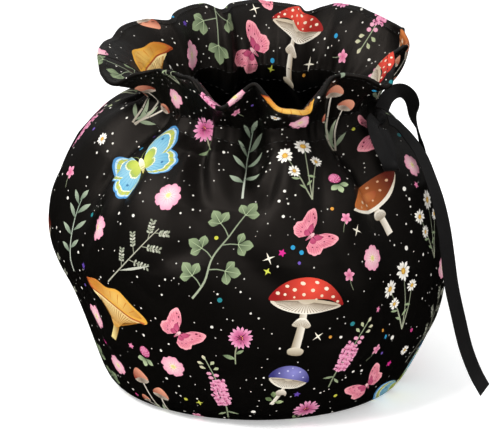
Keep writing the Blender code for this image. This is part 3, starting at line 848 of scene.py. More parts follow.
def small_folds(angle, place, run_up):
    """How far the small folds stand out, at angles, section numbers and lengths up the cloth."""
    turn = np.radians(angle)
    from_neck = run_up - RUN_TO_NECK
    out = np.zeros_like(turn)
    for pleats in (SMALL_PLEATS, LARGE_PLEATS):
        wander = pleats.drift * np.sin(5 * turn + pleats.count) + 0.6 * np.sin(13 * turn)
        wave = np.sin(pleats.count * turn + wander) * (0.65 + 0.35 * np.sin(7 * turn + 2.0))
        reach = np.where(from_neck < 0, pleats.below, pleats.above)
        out += pleats.depth * wave * np.exp(-(from_neck / reach) ** 2)
    for line in CASING_LINES:
        out -= CASING_GROOVE * np.exp(-((from_neck - line) / 0.9) ** 2)
    out -= RIM_GROOVE * np.exp(-((RUN_UP - run_up - RIM_STITCH_INSET) / 0.7) ** 2)
    body = ease((place - 2.0) / 2.0) * ease((NECK - place) / 2.0)
    slack = sum(
        size * np.sin(count * turn + run_up / rise + phase + 0.8 * np.sin(2 * turn + run_up / 37 + phase))
        for count, rise, size, phase in SLACK)
    ruffle = ease((place - NECK) / 0.4)
    flutter = np.sin(31 * turn + run_up / 8.0) + 0.5 * np.sin(53 * turn + 1.3)
    # The folds stay low where the ribbon's tails hang close to the cloth
    free = (1 - 0.75 * np.exp(-(turn_between(345.0, angle) / 24) ** 2)
            - 0.5 * np.exp(-(turn_between(28.0, angle) / 16) ** 2))
    bulge = UNEVENNESS * slack - CREASE_STRENGTH * crease_depth(angle, run_up)
    return out + body * free * bulge + FLUTTER * ruffle * flutter


def skin(angle, run):
    """Points of the whole skin, in millimetres from the axis, at angles and lengths up the map."""
    place, rolled = unfold(run)
    facing, up = facing_at(angle, place)
    run_up = np.where(run <= HALF_WAY, np.clip(run, 0, RUN_UP), 2 * RUN_UP + FOLD_RUN - run)
    under = place < 1.0
    facing[under] = (0.0, 0.0, -1.0)
    middle = cloth_middle(angle, place)
    lift = small_folds(angle, place, np.clip(run_up, 0, RUN_UP))
    outward = facing * (ROLL * np.cos(rolled) + lift)[:, None] + up * (ROLL * np.sin(rolled))[:, None]
    points = middle + outward
    low = SOLID_CLOTH / 2 - ROLL
    points[:, 2] = np.maximum(points[:, 2] - low * (place < 2), 0.0)
    return points


def skin_normals(angle, run):
    """The way that the skin faces, from small steps across the map."""
    d_angle, d_run = 0.25, 0.35
    across = skin(angle + d_angle, run) - skin(angle - d_angle, run)
    along = skin(angle, np.minimum(run + d_run, MAP_TOP)) - skin(angle, np.maximum(run - d_run, MAP_BOTTOM))
    return unit(np.cross(across, along))


# %% [markdown]
# ## The panels' edges
#
# Both panels end at the side seams, and there each seam parts in a slot. An edge is rolled, as a
# seam allowance turned to the inside is, so the flat map stops half a thickness short of the seam,
# and three rows of points carry the roll round to the inside.
# %% Panel outline
Slot = namedtuple("Slot", "low high half_width")
RIGHT_SLOT = Slot(57.0, 121.0, 8.5)
LEFT_SLOT = Slot(84.0, 128.0, 15.0)
# Below zero, so that the two rolled edges press into each other and no light comes through
SEAM_GAP = -0.3
EDGE_STEP = 1.4


def side_edge(side_angle, place, inward):
    """The angle of a panel's edge at a side seam. inward is +1 or -1, towards the panel's middle."""
    slot = RIGHT_SLOT if side_angle % 360 == 0 else LEFT_SLOT
    point = cloth_middle(np.full_like(place, side_angle), place)
    middle, half = (slot.low + slot.high) / 2, (slot.high - slot.low) / 2
    opening = slot.half_width * np.maximum(0.0, 1 - ((point[:, 2] - middle) / half) ** 2) ** 0.85
    stand_off = SEAM_GAP / 2 + ROLL + np.where(place < NECK, opening, 0.0)
    return side_angle + inward * np.degrees(stand_off / np.hypot(point[:, 0], point[:, 1]))


def map_x(angle):
    """Where an angle lies across the map."""
    return angle * MAP_MM_PER_DEGREE


def outline_of(first_side, last_side):
    """The panel's outline on the map, anticlockwise from its lower left corner."""
    rows = np.linspace(MAP_BOTTOM, MAP_TOP, round((MAP_TOP - MAP_BOTTOM) / EDGE_STEP) + 1)
    place = unfold(rows)[0]
    left = map_x(side_edge(first_side, place, 1))
    right = map_x(side_edge(last_side, place, -1))
    columns = np.linspace(left[0], right[0], 151)[1:-1]
    bottom = np.stack([columns, np.full_like(columns, MAP_BOTTOM)], axis=1)
    top = np.stack([columns[::-1], np.full_like(columns, MAP_TOP)], axis=1)
    right_side = np.stack([right, rows], axis=1)
    left_side = np.stack([left[::-1], rows[::-1]], axis=1)
    return np.concatenate([left_side[-1:], bottom, right_side, top, left_side[:-1]])


# %% [markdown]
# ## From flat triangles to a printed skin
#
# Blender's constrained triangulation takes the outline, each printed shape and a net of plain
# points, and returns triangles that follow every edge of the print, so that a thin stem stays
# crisp where a vertex colour on a plain net would blur. It also tells which shapes each triangle
# lies in, and the last of them gives its colour.
# %% Triangulation
Shape = namedtuple("Shape", "outline paint spot")
BODY_NET = 2.1
RUFFLE_NET = 1.35
LINING_NET = 4.0
RUFFLE_FROM = 11.5
NET_INSET = 0.8
FOLD_STEP = 0.6
FOLD_REACH = 4


def plain_points(first_side, last_side):
    """The net of points between the printed shapes: close in the ruffle, wide on the inner body."""
    points = []
    run, odd = MAP_BOTTOM + 1.0, False
    while run < MAP_TOP - 1.0:
        place = unfold(np.array([run]))[0]
        inner_body = run > PRINT_TOP + 4
        step = LINING_NET if inner_body else RUFFLE_NET if place[0] > RUFFLE_FROM else BODY_NET
        left = map_x(side_edge(first_side, place, 1))[0] + NET_INSET
        right = map_x(side_edge(last_side, place, -1))[0] - NET_INSET
        count = max(2, round((right - left) / step))
        columns = np.linspace(left, right, count + 1)
        if odd:
            columns = (columns[1:] + columns[:-1]) / 2
        points.append(np.stack([columns, np.full_like(columns, run)], axis=1))
        odd = not odd
        from_fold = min(abs(run - RUN_UP - FOLD_RUN / 2), abs(run), abs(run - 2 * RUN_UP - FOLD_RUN))
        run += FOLD_STEP if from_fold < FOLD_REACH else step * 0.87
    return np.concatenate(points)


def in_loop_order(edges):
    """The vertices of one closed loop, from its directed edges."""
    following = dict(edges)
    start = edges[0][0]
    loop, at = [start], following[start]
    while at != start:
        loop.append(at)
        at = following[at]
    return loop


def zip_rows(left, left_at, right, right_at):
    """Triangles between two rows of vertices, each with its own places along the edge."""
    i, j, made = 0, 0, []
    while i < len(left) - 1 or j < len(right) - 1:
        if j == len(right) - 1 or (i < len(left) - 1 and left_at[i + 1] <= right_at[j + 1]):
            face = (left[i], right[j], left[i + 1])
            i += 1
        else:
            face = (left[i], right[j], right[j + 1])
            j += 1
        if len(set(face)) == 3:
            made.append(face)
    return made


def flat_skin(first_side, last_side, shapes):
    """The triangulated map: its points, its triangles, and each triangle's topmost shape."""
    outline = outline_of(first_side, last_side)
    points, faces = [outline], [list(range(len(outline)))]
    count = len(outline)
    for shape in shapes:
        faces.append(list(range(count, count + len(shape))))
        points.append(shape)
        count += len(shape)
    points.append(plain_points(first_side, last_side))
    given = [Vector(point) for point in np.concatenate(points).tolist()]
    found, _, triangles, _, _, owners = delaunay_2d_cdt(given, [], faces, 1, 1e-4, True)
    kept = [(t, max(owner)) for t, owner in zip(triangles, owners) if 0 in owner]
    return np.array([tuple(p) for p in found]), [t for t, _ in kept], [top - 1 for _, top in kept]


# %% [markdown]
# ## Closing the sheet
#
# The skin's outline is one loop. Its lower and upper ends lie on the same line under the hem, so
# they are joined there. The two sides are closed by the rolled edges, from the outside row round
# to the inside row, and the panel is then one closed sheet that a printer or a slicer could take.
# %% Closed panel
EDGE_ROLLS = (math.pi / 4, math.pi / 2, 3 * math.pi / 4)


def border(flat, triangles):
    """The skin's border: the pairs that meet under the hem, and its left and right side."""
    edges = dict.fromkeys(edge for t in triangles for edge in zip(t, t[1:] + t[:1]))
    loop = in_loop_order([(a, b) for a, b in edges if (b, a) not in edges])
    on_bottom, on_top = (
        sorted((v for v in loop if abs(flat[v, 1] - end) < 1e-3), key=lambda v: flat[v, 0])
        for end in (MAP_BOTTOM, MAP_TOP))
    assert len(on_top) == len(on_bottom), (len(on_top), len(on_bottom))
    start = loop.index(on_bottom[0])
    loop = loop[start:] + loop[:start]
    left_side = loop[loop.index(on_top[0]):] + [on_bottom[0]]
    right_side = loop[loop.index(on_bottom[-1]):loop.index(on_top[-1]) + 1]
    return dict(zip(on_top, on_bottom)), left_side[::-1], right_side


def edge_rows(side_angle, inward):
    """The rows that carry a rolled edge inside: lengths up the map, points, normals, map spots."""
    rows_at = np.arange(EDGE_STEP, RUN_UP - 0.2, EDGE_STEP)
    edge_angle = side_edge(side_angle, unfold(rows_at)[0], inward)
    outside, inside = skin(edge_angle, rows_at), skin(edge_angle, 2 * HALF_WAY - rows_at)
    middle, half = (outside + inside) / 2, (outside - inside) / 2
    round_way = np.stack([-np.sin(np.radians(edge_angle)), np.cos(np.radians(edge_angle)),
                          np.zeros_like(edge_angle)], axis=1) * -inward
    along = unit(np.gradient(middle, axis=0))
    out = unit(round_way - along * np.sum(round_way * along, axis=1, keepdims=True))
    for roll in EDGE_ROLLS:
        yield (rows_at, middle + half * math.cos(roll) + out * ROLL * math.sin(roll),
               unit(unit(half) * math.cos(roll) + out * math.sin(roll)),
               np.stack([map_x(edge_angle) - inward * roll, rows_at], axis=1))


def closed_panel(name, first_side, last_side, shapes, colour_of, material):
    """A panel's object, from the map to a closed sheet with colours on its corners."""
    flat, triangles, owners = flat_skin(first_side, last_side, shapes)
    angle, run = flat[:, 0] / MAP_MM_PER_DEGREE, flat[:, 1]
    same, left_side, right_side = border(flat, triangles)
    faces = [tuple(t) for t in triangles]
    parts = [(skin(angle, run), skin_normals(angle, run), flat)]
    count = len(flat)
    for inward, side_angle, chain in ((1, first_side, left_side), (-1, last_side, right_side)):
        outer = [v for v in chain if run[v] <= HALF_WAY + 1e-6]
        inner = [outer[-1]] + [v for v in chain if run[v] > HALF_WAY + 1e-6]
        rows = [(outer, run[outer])]
        for rows_at, points, normals, row_flat in edge_rows(side_angle, inward):
            rows.append(([outer[0]] + list(range(count, count + len(points))) + [outer[-1]],
                         np.concatenate([[run[outer[0]]], rows_at, [run[outer[-1]]]])))
            parts.append((points, normals, row_flat))
            count += len(points)
        rows.append(([same.get(v, v) for v in inner[::-1]], (2 * HALF_WAY - run[inner])[::-1]))
        for row, following in zip(rows, rows[1:]):
            made = zip_rows(*row, *following)
            faces += made if inward == -1 else [f[::-1] for f in made]
            owners += [-1] * len(made)
    faces = [tuple(same.get(v, v) for v in f) for f in faces]
    used = sorted({v for f in faces for v in f})
    renumber = {v: k for k, v in enumerate(used)}
    faces = [tuple(renumber[v] for v in f) for f in faces]
    points, normals, flat = (np.concatenate(rows)[used] for rows in zip(*parts))
    made = mesh_object(name, points, faces, flat, material)
    corners = np.array(faces).ravel()
    colours = colour_of(flat[corners], np.repeat(np.array(owners), 3))
    layer = made.data.color_attributes.new("print", "FLOAT_COLOR", "CORNER")
    layer.data.foreach_set("color", np.concatenate([colours, np.ones((len(colours), 1))], axis=1)
                           .astype(np.float32).ravel())
    made.data.normals_split_custom_set_from_vertices(normals.tolist())
    return made


# %% [markdown]
# ## Drawing the print
#
# The cloth has an all-over print of common garden and woodland motifs on black: blossoms, daisies,
# clover, toadstools, moths, stars and a scatter of dots. Each motif is drawn here by rule, in
# millimetres, as outlines with a paint, the later over the earlier. A paint is two colours that
# change along a line, or outwards from a point. The drawings and their layout are this script's own.
# %% Pens
def slanted(a, b, x0, y0, x1, y1):
    """A paint from colour a at one point to colour b at another."""
    return (*linear(a), *linear(b), x0, y0, x1, y1, 0.0)


def upright(a, b, low, high):
    """A paint from colour a at one height to colour b at another."""
    return slanted(a, b, 0.0, low, 0.0, high)


def glow(a, b, x, y, reach):
    """A paint from colour a at a point to colour b at a distance from it."""
    return (*linear(a), *linear(b), x, y, reach, 0.0, 1.0)


def even(a):
    """A paint of one colour."""
    return glow(a, a, 0.0, 0.0, 1.0)


def way(turn, reach, x=0.0, y=0.0):
    """The point at a distance from x and y, in a direction in degrees."""
    return x + reach * math.cos(math.radians(turn)), y + reach * math.sin(math.radians(turn))


def turned(points, degrees):
    """Points turned about the motif's own origin."""
    c, s = way(degrees, 1.0)
    return np.asarray(points, float) @ np.array(((c, s), (-s, c)))


def dot(x, y, radius, count=9, squash=1.0, lean=0.0):
    """A circle or an oval."""
    a = np.linspace(0, 2 * math.pi, count, endpoint=False)
    return turned(np.stack([radius * np.cos(a), radius * squash * np.sin(a)], axis=1), lean) + (x, y)


def leaf(x, y, lean, length, width, belly=0.5, count=5):
    """A leaf or petal from its foot, widest at the share belly of its length."""
    t = np.linspace(0, 1, count + 2)[1:-1]
    half = width / 2 * np.sin(np.pi * t ** (math.log(0.5) / math.log(belly)))
    right = np.stack([t * length, -half], axis=1)
    left = np.stack([t[::-1] * length, half[::-1]], axis=1)
    return turned(np.concatenate([[(0, 0)], right, [(length, 0)], left]), lean) + (x, y)


def bend(points, per=4):
    """A smooth open line through a few points."""
    return blend(np.array(points, float), np.linspace(0, len(points) - 1, per * (len(points) - 1) + 1))


def stroke(line, start, end):
    """A line with a width that changes from its start to its end."""
    line = np.asarray(line, float)
    run = unit(np.gradient(line, axis=0))
    side = np.stack([-run[:, 1], run[:, 0]], axis=1) * np.linspace(start, end, len(line))[:, None] / 2
    return np.concatenate([line - side, (line + side)[::-1]])


def closed(points, per=3):
    """A smooth closed outline through a few points."""
    points = np.array(points, float)
    ring = np.concatenate([points[-2:], points, points[:2]])
    return blend(ring, np.linspace(2, 2 + len(points), per * len(points) + 1))[:-1]


# %% [markdown]
# Flowers are petals set round a centre by one loop, with small chances in their length and lean, so
# that no two in the cloth are quite alike.
# %% Flower motifs
def blossom(rng):
    """A pale pink blossom of five broad petals, with a yellow eye."""
    for k in rng.permutation(5):
        lean, reach = 72 * k + 18 + rng.uniform(-6, 6), rng.uniform(5.6, 6.7)
        a = np.linspace(-47, 47, 15)
        edge = reach * np.sqrt(1 - np.abs(a / 48.5) ** 3.2) * (1 - 0.08 * np.exp(-(a / 8) ** 2))
        edge *= 1 + 0.018 * rng.standard_normal(15)
        rim = np.stack([edge * np.cos(np.radians(a)), edge * np.sin(np.radians(a))], axis=1)
        yield turned(np.concatenate([[(0, 0)], rim]), lean), glow("f7e0da", "e38fac", 0, 0, reach * 1.02)
        yield (turned(stroke([(0.8, -0.7), (2.4, -2.1), (3.9, -3.0)], 0.1, 0.5), lean),
               slanted("e59bb0", "f1b3c4", 0, 0, *turned([(4, -3)], lean)[0]))
        for vein in (-20, 2, 21):
            yield turned(stroke([way(vein, r) for r in (1.9, 3.2, 4.4)], 0.22, 0.08), lean), even("e48fab")
    yield dot(0, 0, 1.25), glow("cfc878", "efdf9d", 0, 0, 1.3)
    for k in range(9):
        turn, reach = 40 * k + rng.uniform(-9, 9), rng.uniform(1.3, 2.0)
        yield stroke([way(turn, 0.5), way(turn, reach)], 0.12, 0.1), even("e9dc9a")
        yield dot(*way(turn, reach), 0.24, 5), even("c9a346")


def aster(rng):
    """A rose-pink flower of many narrow petals, on a short leafy stem."""
    yield stroke(bend([(0, -1), (1.5, -7), (5, -13)]), 0.75, 0.5), upright("8d7a70", "93a07c", -1, -13)
    yield leaf(2.2, -8.2, 60, 4.2, 1.5), slanted("5f6f4f", "93a37a", 2, -8, 4, -4)
    yield leaf(3.6, -10.5, 195, 6.0, 2.2), slanted("8fa078", "56684c", 3.6, -10.5, -2.4, -12)
    for row, (count, start, length, width, low, high) in enumerate((
            (16, 1.2, 4.6, 1.5, "a93d6d", "e7a0c0"), (13, 0.8, 3.3, 1.3, "9b3261", "d77ca5"),
            (9, 0.4, 2.1, 1.0, "842750", "c25f8c"))):
        for k in range(count):
            lean = 360 / count * k + 9 * row + rng.uniform(-4, 4)
            reach = length * rng.uniform(0.88, 1.08)
            foot, tip = way(lean, start), way(lean, start + reach)
            yield leaf(*foot, lean, reach, width, 0.68, 4), slanted(low, high, *foot, *tip)
    yield dot(0, 0, 0.75, 7), even("7d2148")
    for x, y in ((0.5, 0.6), (-0.3, 0.9), (0.9, 0.0)):
        yield dot(x, y, 0.27, 5), even("e89d58")


def daisy_head(x, y, size, rng, squash=1.0, lean=0.0):
    """A white daisy, as outlines round a point."""
    count = 11
    for k in range(count):
        turn = 360 / count * k + rng.uniform(-6, 6)
        petal = leaf(0.3, 0, 0, size / 2 * rng.uniform(0.85, 1.06), size * 0.19, 0.62, 3)
        petal = turned(petal, turn) * (1.0, squash)
        yield turned(petal, lean) + (x, y), glow("cdc6b4", "f7f3ea", x, y, size * 0.42)
    eye = turned(dot(0, 0, size * 0.17, 8) * (1.0, squash), lean) + (x, y)
    yield eye, glow("e9bd55", "b98426", x, y, size * 0.18)


def daisy_spray(rng):
    """Four small daisies on branching stems."""
    heads = ((-4.4, 10.0, 7.4, 1.0), (4.6, 7.2, 6.6, 0.85), (-7.4, 2.6, 5.4, 0.8), (3.4, 0.2, 4.6, 1.0))
    for x, y, _, _ in heads:
        line = bend([(x, y), (x * 0.55, y * 0.35 - 4.0), (0.6, -12.5)], 5)
        yield stroke(line, 0.35, 0.5), upright("6f7762", "a2a68c", 8, -12)
    for x, y, lean in ((0.4, -6.5, 150), (0.8, -8.0, 40), (-1.4, -2.5, 205), (2.2, -3.4, 20)):
        yield leaf(x, y, lean, 3.4, 1.0), even("8fa07a")
    for x, y, size, squash in heads:
        yield from daisy_head(x, y, size, rng, squash, rng.uniform(-30, 30))


def flower_spike(rng):
    """A pink spike: buds at the tip, and crowded small flowers below."""
    axis = bend([(3.5, 15.5), (1.6, 8.0), (0.2, 0.0), (-0.4, -8.0), (0.8, -15.5)], 5)
    yield stroke(axis, 0.35, 0.6), upright("98a383", "7b8468", 15, -15)
    for x, y, lean in ((3.4, 14.6, 70), (4.4, 12.8, 20), (2.0, 12.6, 130), (3.9, 10.6, 25), (1.3, 10.4, 150)):
        yield leaf(x, y, lean, 2.5, 1.35, 0.6), slanted("a9b48a", "d7cbb0", x, y, x + 1.5, y + 2)
    for x, y in ((3.2, 8.4), (0.6, 7.8), (2.8, 6.4)):
        yield dot(x, y, 1.0, 7, 0.8), glow("f0c3cf", "d98ba8", x, y, 1.0)
    for height, spread, count in ((4.6, 1.8, 3), (2.6, 2.5, 4), (0.6, 2.8, 4), (-1.6, 2.7, 4), (-3.8, 2.5, 4),
                                  (-5.8, 1.9, 3)):
        for k in range(count):
            x = spread * (2 * (k + 0.5) / count - 1) + 0.3 + rng.uniform(-0.35, 0.35)
            y = height + rng.uniform(-0.6, 0.6)
            for petal in range(4):
                yield (leaf(x, y, 90 * petal + rng.uniform(0, 60), 1.7, 1.35, 0.62, 2),
                       glow("b9487a", "efacc6", x, y, 1.75))
            yield dot(x, y, 0.26, 5), even("8f2d59")
    yield leaf(0.2, -10.0, 205, 4.6, 1.2), even("7f8c6d")
    yield leaf(0.4, -11.0, -30, 3.8, 1.1), even("93a07c")


# %% [markdown]
# Leaves: clover in threes, narrow leaves in pairs, and feathery grass. Their greens are greyed,
# because the real print is soft and not fresh green.
# %% Leaf motifs
def clover(rng):
    """A stem of three-part leaves."""
    axis = bend([(-2.4, 15.0), (-0.6, 7.0), (1.2, -2.0), (0.6, -10.0), (2.4, -17.0)], 5)
    yield stroke(axis, 0.4, 0.75), upright("7f8a70", "98a088", 15, -17)
    for x, y, tx, ty, lean in ((-2.4, 15.0, -2.6, 15.4, 100), (-0.4, 6.6, 4.0, 10.0, 42),
                               (0.4, 3.0, -4.6, 5.2, 160), (1.2, -2.4, 5.8, -0.6, 15),
                               (0.8, -6.0, -4.4, -4.4, 170), (1.2, -12.0, 5.0, -10.0, 25)):
        stalk = bend([(x, y), ((x + tx) / 2, (y + ty) / 2 + 0.4), (tx, ty)], 2)
        yield stroke(stalk, 0.4, 0.3), even("808b72")
        for k, size in ((-62, 4.3), (62, 4.6), (0, 5.4)):
            turn = lean + k + rng.uniform(-8, 8)
            yield (leaf(tx, ty, turn, size, size * 0.68, 0.6),
                   slanted("3f4d37", "8d9d78", tx, ty, *way(turn, size, tx, ty)))
            yield stroke([(tx, ty), way(turn, 0.8 * size, tx, ty)], 0.2, 0.08), even("a9b790")


def narrow_leaves(rng):
    """A sprig of long, narrow, silvery leaves."""
    axis = bend([(1.0, 14.0), (-0.4, 5.0), (0.0, -5.0), (0.6, -15.0)], 5)
    yield stroke(axis, 0.3, 0.8), upright("81917f", "b3b8aa", 14, -15)
    for y, lean, length in ((12, 60, 5.5), (10.5, 125, 6.0), (7.0, 48, 7.5), (5.0, 138, 7.0), (0.5, 42, 8.2),
                            (-1.5, 146, 7.6), (-6.5, 38, 6.6), (-8.0, 152, 6.0)):
        turn = lean + rng.uniform(-8, 8)
        yield leaf(0, y, turn, length, 1.9, 0.55), slanted("566654", "a2af98", 0, y, *way(turn, length, 0, y))


def feather_grass(rng):
    """A branching stem of grass with many small seeds."""
    yield stroke(bend([(-6.0, 12.0), (-2.0, 3.0), (3.0, -6.0), (8.0, -14.0)], 5), 0.3, 0.5), even("a3a18f")
    for x, y, lean, length in ((-5.2, 10.2, 165, 4.5), (-4.0, 7.4, 80, 6.0), (-2.6, 4.4, 170, 6.5),
                               (-0.9, 1.2, 62, 6.5), (0.6, -1.6, 178, 7.5), (2.6, -5.4, 75, 6.0)):
        yield stroke([(x, y), way(lean, length, x, y)], 0.28, 0.2), even("8f907d")
        for k in range(5):
            foot = way(lean, length * (0.35 + 0.16 * k), x, y)
            for side in (55, -55):
                yield (leaf(*foot, lean + side + rng.uniform(-12, 12), 1.4, 0.8, 0.6, 2),
                       even(("a3a593", "8b8f7c", "b9b9a8")[k % 3]))
    yield leaf(3.4, -7.0, 150, 13.0, 0.9), even("b4b5a6")


# %% [markdown]
# Mushrooms: a cap, the pale gills that show below it, and a stem that starts under the gills. The
# gills are thin strokes that fan out from the top of the stem.
# %% Mushroom motifs
def stem(line, start, end, light, dark, left, right, height, per=5):
    """A stem that is lit from the left, from light to dark between two places across it."""
    return stroke(bend(line, per), start, end), slanted(light, dark, left, height, right, height)


def gills(centre, rim, colour, count, width=0.28):
    """Strokes from a centre to even places along a rim line."""
    rim = np.asarray(rim, float)
    places = np.linspace(0, len(rim) - 1, count)
    ends = np.stack([np.interp(places, np.arange(len(rim)), rim[:, k]) for k in (0, 1)], axis=1)
    centre = np.array(centre, float)
    for end in ends:
        yield (stroke([centre + (end - centre) * 0.22, centre + (end - centre) * 0.93], width * 0.4, width),
               even(colour))


def toadstool(rng):
    """A red cap with white spots."""
    yield stem([(0.4, -1.0), (0.2, -8.0), (0.8, -18.5)], 2.5, 3.6, "f0e8d8", "9c8c74", -1.4, 2.2, -9)
    yield (closed([(-2.6, -17.6), (0.8, -16.6), (3.6, -17.8), (2.8, -20.0), (-1.8, -20.0)]),
           upright("d9cdb6", "94866f", -17, -20))
    yield (closed([(-13.6, 2.2), (-8.0, -0.6), (0.0, -2.6), (8.6, -1.8), (13.8, 1.2), (7.0, 3.2),
                   (-6.0, 3.8)], 4), upright("b9a88f", "efe7d8", 3, -2.5))
    lip = bend([(-13.2, 2.0), (-8.0, -0.6), (0.0, -2.5), (8.6, -1.7), (13.4, 1.2)], 6)
    yield from gills((0.3, 2.6), lip, "7c6d5c", 27, 0.3)
    yield (closed([(-1.4, -4.6), (0.2, -4.2), (2.0, -4.6), (4.0, -7.4), (2.2, -8.2), (0.4, -7.6),
                   (-1.6, -8.4), (-3.4, -7.2)]), upright("f4ecdc", "a99b86", -4.4, -8.4))
    frill = [(-3.0, -7.2), (-1.4, -8.0), (0.4, -7.4), (2.2, -8.0), (3.6, -7.2)]
    yield from gills((0.3, -4.2), frill, "8c7d69", 9, 0.22)
    yield (closed([(-14.2, 2.4), (-11.8, 6.8), (-6.2, 11.0), (0.6, 12.2), (7.4, 10.2), (12.6, 5.6),
                   (14.4, 1.4), (8.0, 2.0), (0.0, 3.4), (-8.0, 4.4)], 4),
           glow("e04a38", "8e1214", -1.0, 8.6, 14.0))
    for x, y, r, squash in ((-9.6, 5.6, 0.75, 0.8), (-6.4, 8.6, 0.95, 0.8), (-5.2, 5.6, 0.6, 1.0),
                            (-2.4, 10.6, 0.9, 0.6), (-1.4, 7.4, 0.8, 0.9), (1.6, 5.2, 0.7, 1.0),
                            (2.8, 9.6, 1.05, 0.7), (5.4, 6.6, 0.85, 0.9), (8.4, 7.6, 0.8, 0.8),
                            (8.6, 4.2, 0.6, 1.0), (11.4, 4.4, 0.85, 0.8), (-11.8, 3.8, 0.6, 0.9),
                            (-3.4, 3.9, 0.45, 1.0), (5.0, 3.6, 0.45, 1.0)):
        yield dot(x, y, r, 8, squash, rng.uniform(-20, 20)), glow("fbf3e4", "dcc3a6", x, y, r)


def flat_cap(rng):
    """A wide brown cap with a pale rim and loose patches."""
    yield stem([(0.0, -3.0), (-1.2, -9.0), (-2.6, -17.0)], 3.0, 3.8, "efe6d6", "8f8069", -2.6, 1.4, -9)
    yield (closed([(-3.4, -6.0), (-0.8, -5.4), (1.8, -6.2), (2.4, -8.8), (-0.8, -9.6), (-4.2, -8.4)]),
           upright("f0e8d9", "8e806c", -5.4, -9.6))
    frill = [(-3.8, -8.2), (-2.2, -9.0), (-0.8, -9.2), (0.8, -9.0), (2.2, -8.4)]
    yield from gills((-0.8, -5.4), frill, "857762", 8, 0.2)
    yield (closed([(-16.6, 6.8), (-11.0, -1.0), (-3.0, -4.4), (6.0, -4.8), (15.4, -1.6), (16.2, 0.0),
                   (4.0, 2.0), (-8.0, 4.0)], 4), upright("c9bda6", "f1eadb", 4, -5))
    yield (closed([(-16.8, 7.6), (-9.0, 9.8), (1.0, 8.6), (9.2, 5.6), (16.0, 0.4), (6.0, -3.2), (-3.0, -2.8),
                   (-10.6, 0.8)], 4), slanted("571d14", "b96a34", -12, 6, 9, 0))
    yield (closed([(-4.0, 3.4), (1.0, 4.2), (5.6, 2.4), (4.0, 0.2), (-2.0, 0.2)]),
           glow("b8713f", "94472a", 1, 2, 5))
    for x, y, r, lean in ((-11.0, 5.6, 0.9, 20), (-7.0, 7.0, 0.7, 0), (-6.2, 2.6, 0.8, 40),
                          (-1.6, 6.4, 0.9, 10), (-1.0, -0.4, 0.6, 0), (3.6, -1.2, 0.9, 60),
                          (7.8, 1.0, 1.25, 30), (10.4, -0.8, 0.8, 0), (4.4, 5.4, 0.6, 15)):
        yield dot(x, y, r, 6, 0.8, lean), glow("f3e2c8", "c08a62", x, y, r)


def trumpet(rng):
    """A yellow mushroom whose cap turns up like a trumpet."""
    yield stem([(-1.6, -8.0), (-3.0, -11.5), (-4.6, -15.0)], 3.0, 2.4, "e3cd86", "94692c", -4.6, -1, -12, 3)
    yield (closed([(-15.8, 8.4), (-9.4, 10.2), (-3.0, 9.0), (3.6, 10.2), (9.6, 6.8), (15.6, 0.8),
                   (14.2, -2.0), (8.0, -1.0), (2.0, 1.0), (-5.0, 3.4), (-10.8, 5.2)], 4),
           slanted("a8461f", "dca23c", -16, 9, -2, 4))
    yield (closed([(-13.4, 8.0), (-8.6, 9.2), (-3.0, 8.0), (3.4, 9.0), (8.6, 6.0), (13.6, 0.6), (8.0, 0.6),
                   (2.0, 2.4), (-5.0, 5.0)], 4), glow("e2b75c", "b97826", 3, 5, 12))
    for x0, y0, x1, y1 in ((-6.0, 8.0, -5.0, 5.4), (-1.0, 8.0, -1.4, 4.4), (3.4, 8.2, 2.0, 3.4),
                           (7.4, 6.0, 4.8, 2.4), (10.6, 3.4, 7.6, 1.4)):
        yield stroke([(x0, y0), (x1, y1)], 0.5, 0.15), even("c4761c")
    yield (closed([(-11.6, 5.0), (-5.0, 3.2), (2.0, 0.8), (8.0, -1.2), (13.0, -1.6), (8.0, -3.4), (3.0, -5.2),
                   (-0.2, -8.2), (-3.2, -8.4), (-5.0, -2.0)], 4), upright("edd596", "c48c36", 3, -8.5))
    lip = bend([(-9.6, 4.2), (-4.8, 2.8), (2.0, 0.6), (8.0, -1.6), (11.6, -2.2)], 5)
    yield from gills((-1.6, -8.6), lip, "98631c", 21, 0.3)
    edge = bend([(-15.4, 8.2), (-10.8, 5.0), (-5.0, 3.3), (2.0, 0.9), (8.0, -1.1), (14.2, -1.8)], 5)
    yield stroke(edge, 0.5, 0.9), slanted("8e3516", "b9612a", -15, 8, 14, -2)


def bonnets(rng):
    """Three small bell caps on thin stems, with blades of grass."""
    for lean, length, x, y in ((70, 12.0, -1.0, -14.0), (108, 11.0, 1.0, -14.0), (150, 7.0, 0.0, -13.0),
                               (30, 8.0, 0.6, -13.0)):
        yield leaf(x, y, lean, length, 1.6), slanted("66745c", "b2bd9e", 0, -14, 0, -2)
    for x, y, size, lean, foot in ((-3.4, 9.0, 8.6, 12, -0.8), (4.6, 2.6, 7.4, -18, 0.6),
                                   (-5.6, -3.4, 4.6, 20, -0.2)):
        line = bend([(x, y), ((x + foot) / 2 + 0.8, (y - 14) / 2), (foot, -14.5)], 5)
        yield stroke(line, 0.6, 0.8), upright("dcd3c4", "9c9484", y, -14)
        yield dot(x, y, size / 2, 12, 0.42, lean), glow("6f5e52", "cfc1b0", x, y, size / 2)
        yield from gills((x, y), dot(x, y, size / 2, 16, 0.42, lean), "82715f", 15, 0.16)
        cap = np.array([(-0.5, 0.02), (-0.46, 0.30), (-0.22, 0.62), (0.02, 0.74), (0.26, 0.60), (0.48, 0.28),
                        (0.5, 0.02), (0.25, 0.11), (0.0, 0.15), (-0.25, 0.11)]) * size
        yield (turned(closed(cap), lean) + (x, y),
               slanted("8a3f2e", "e0987a", x - size * 0.4, y, x + size * 0.15, y + size * 0.6))


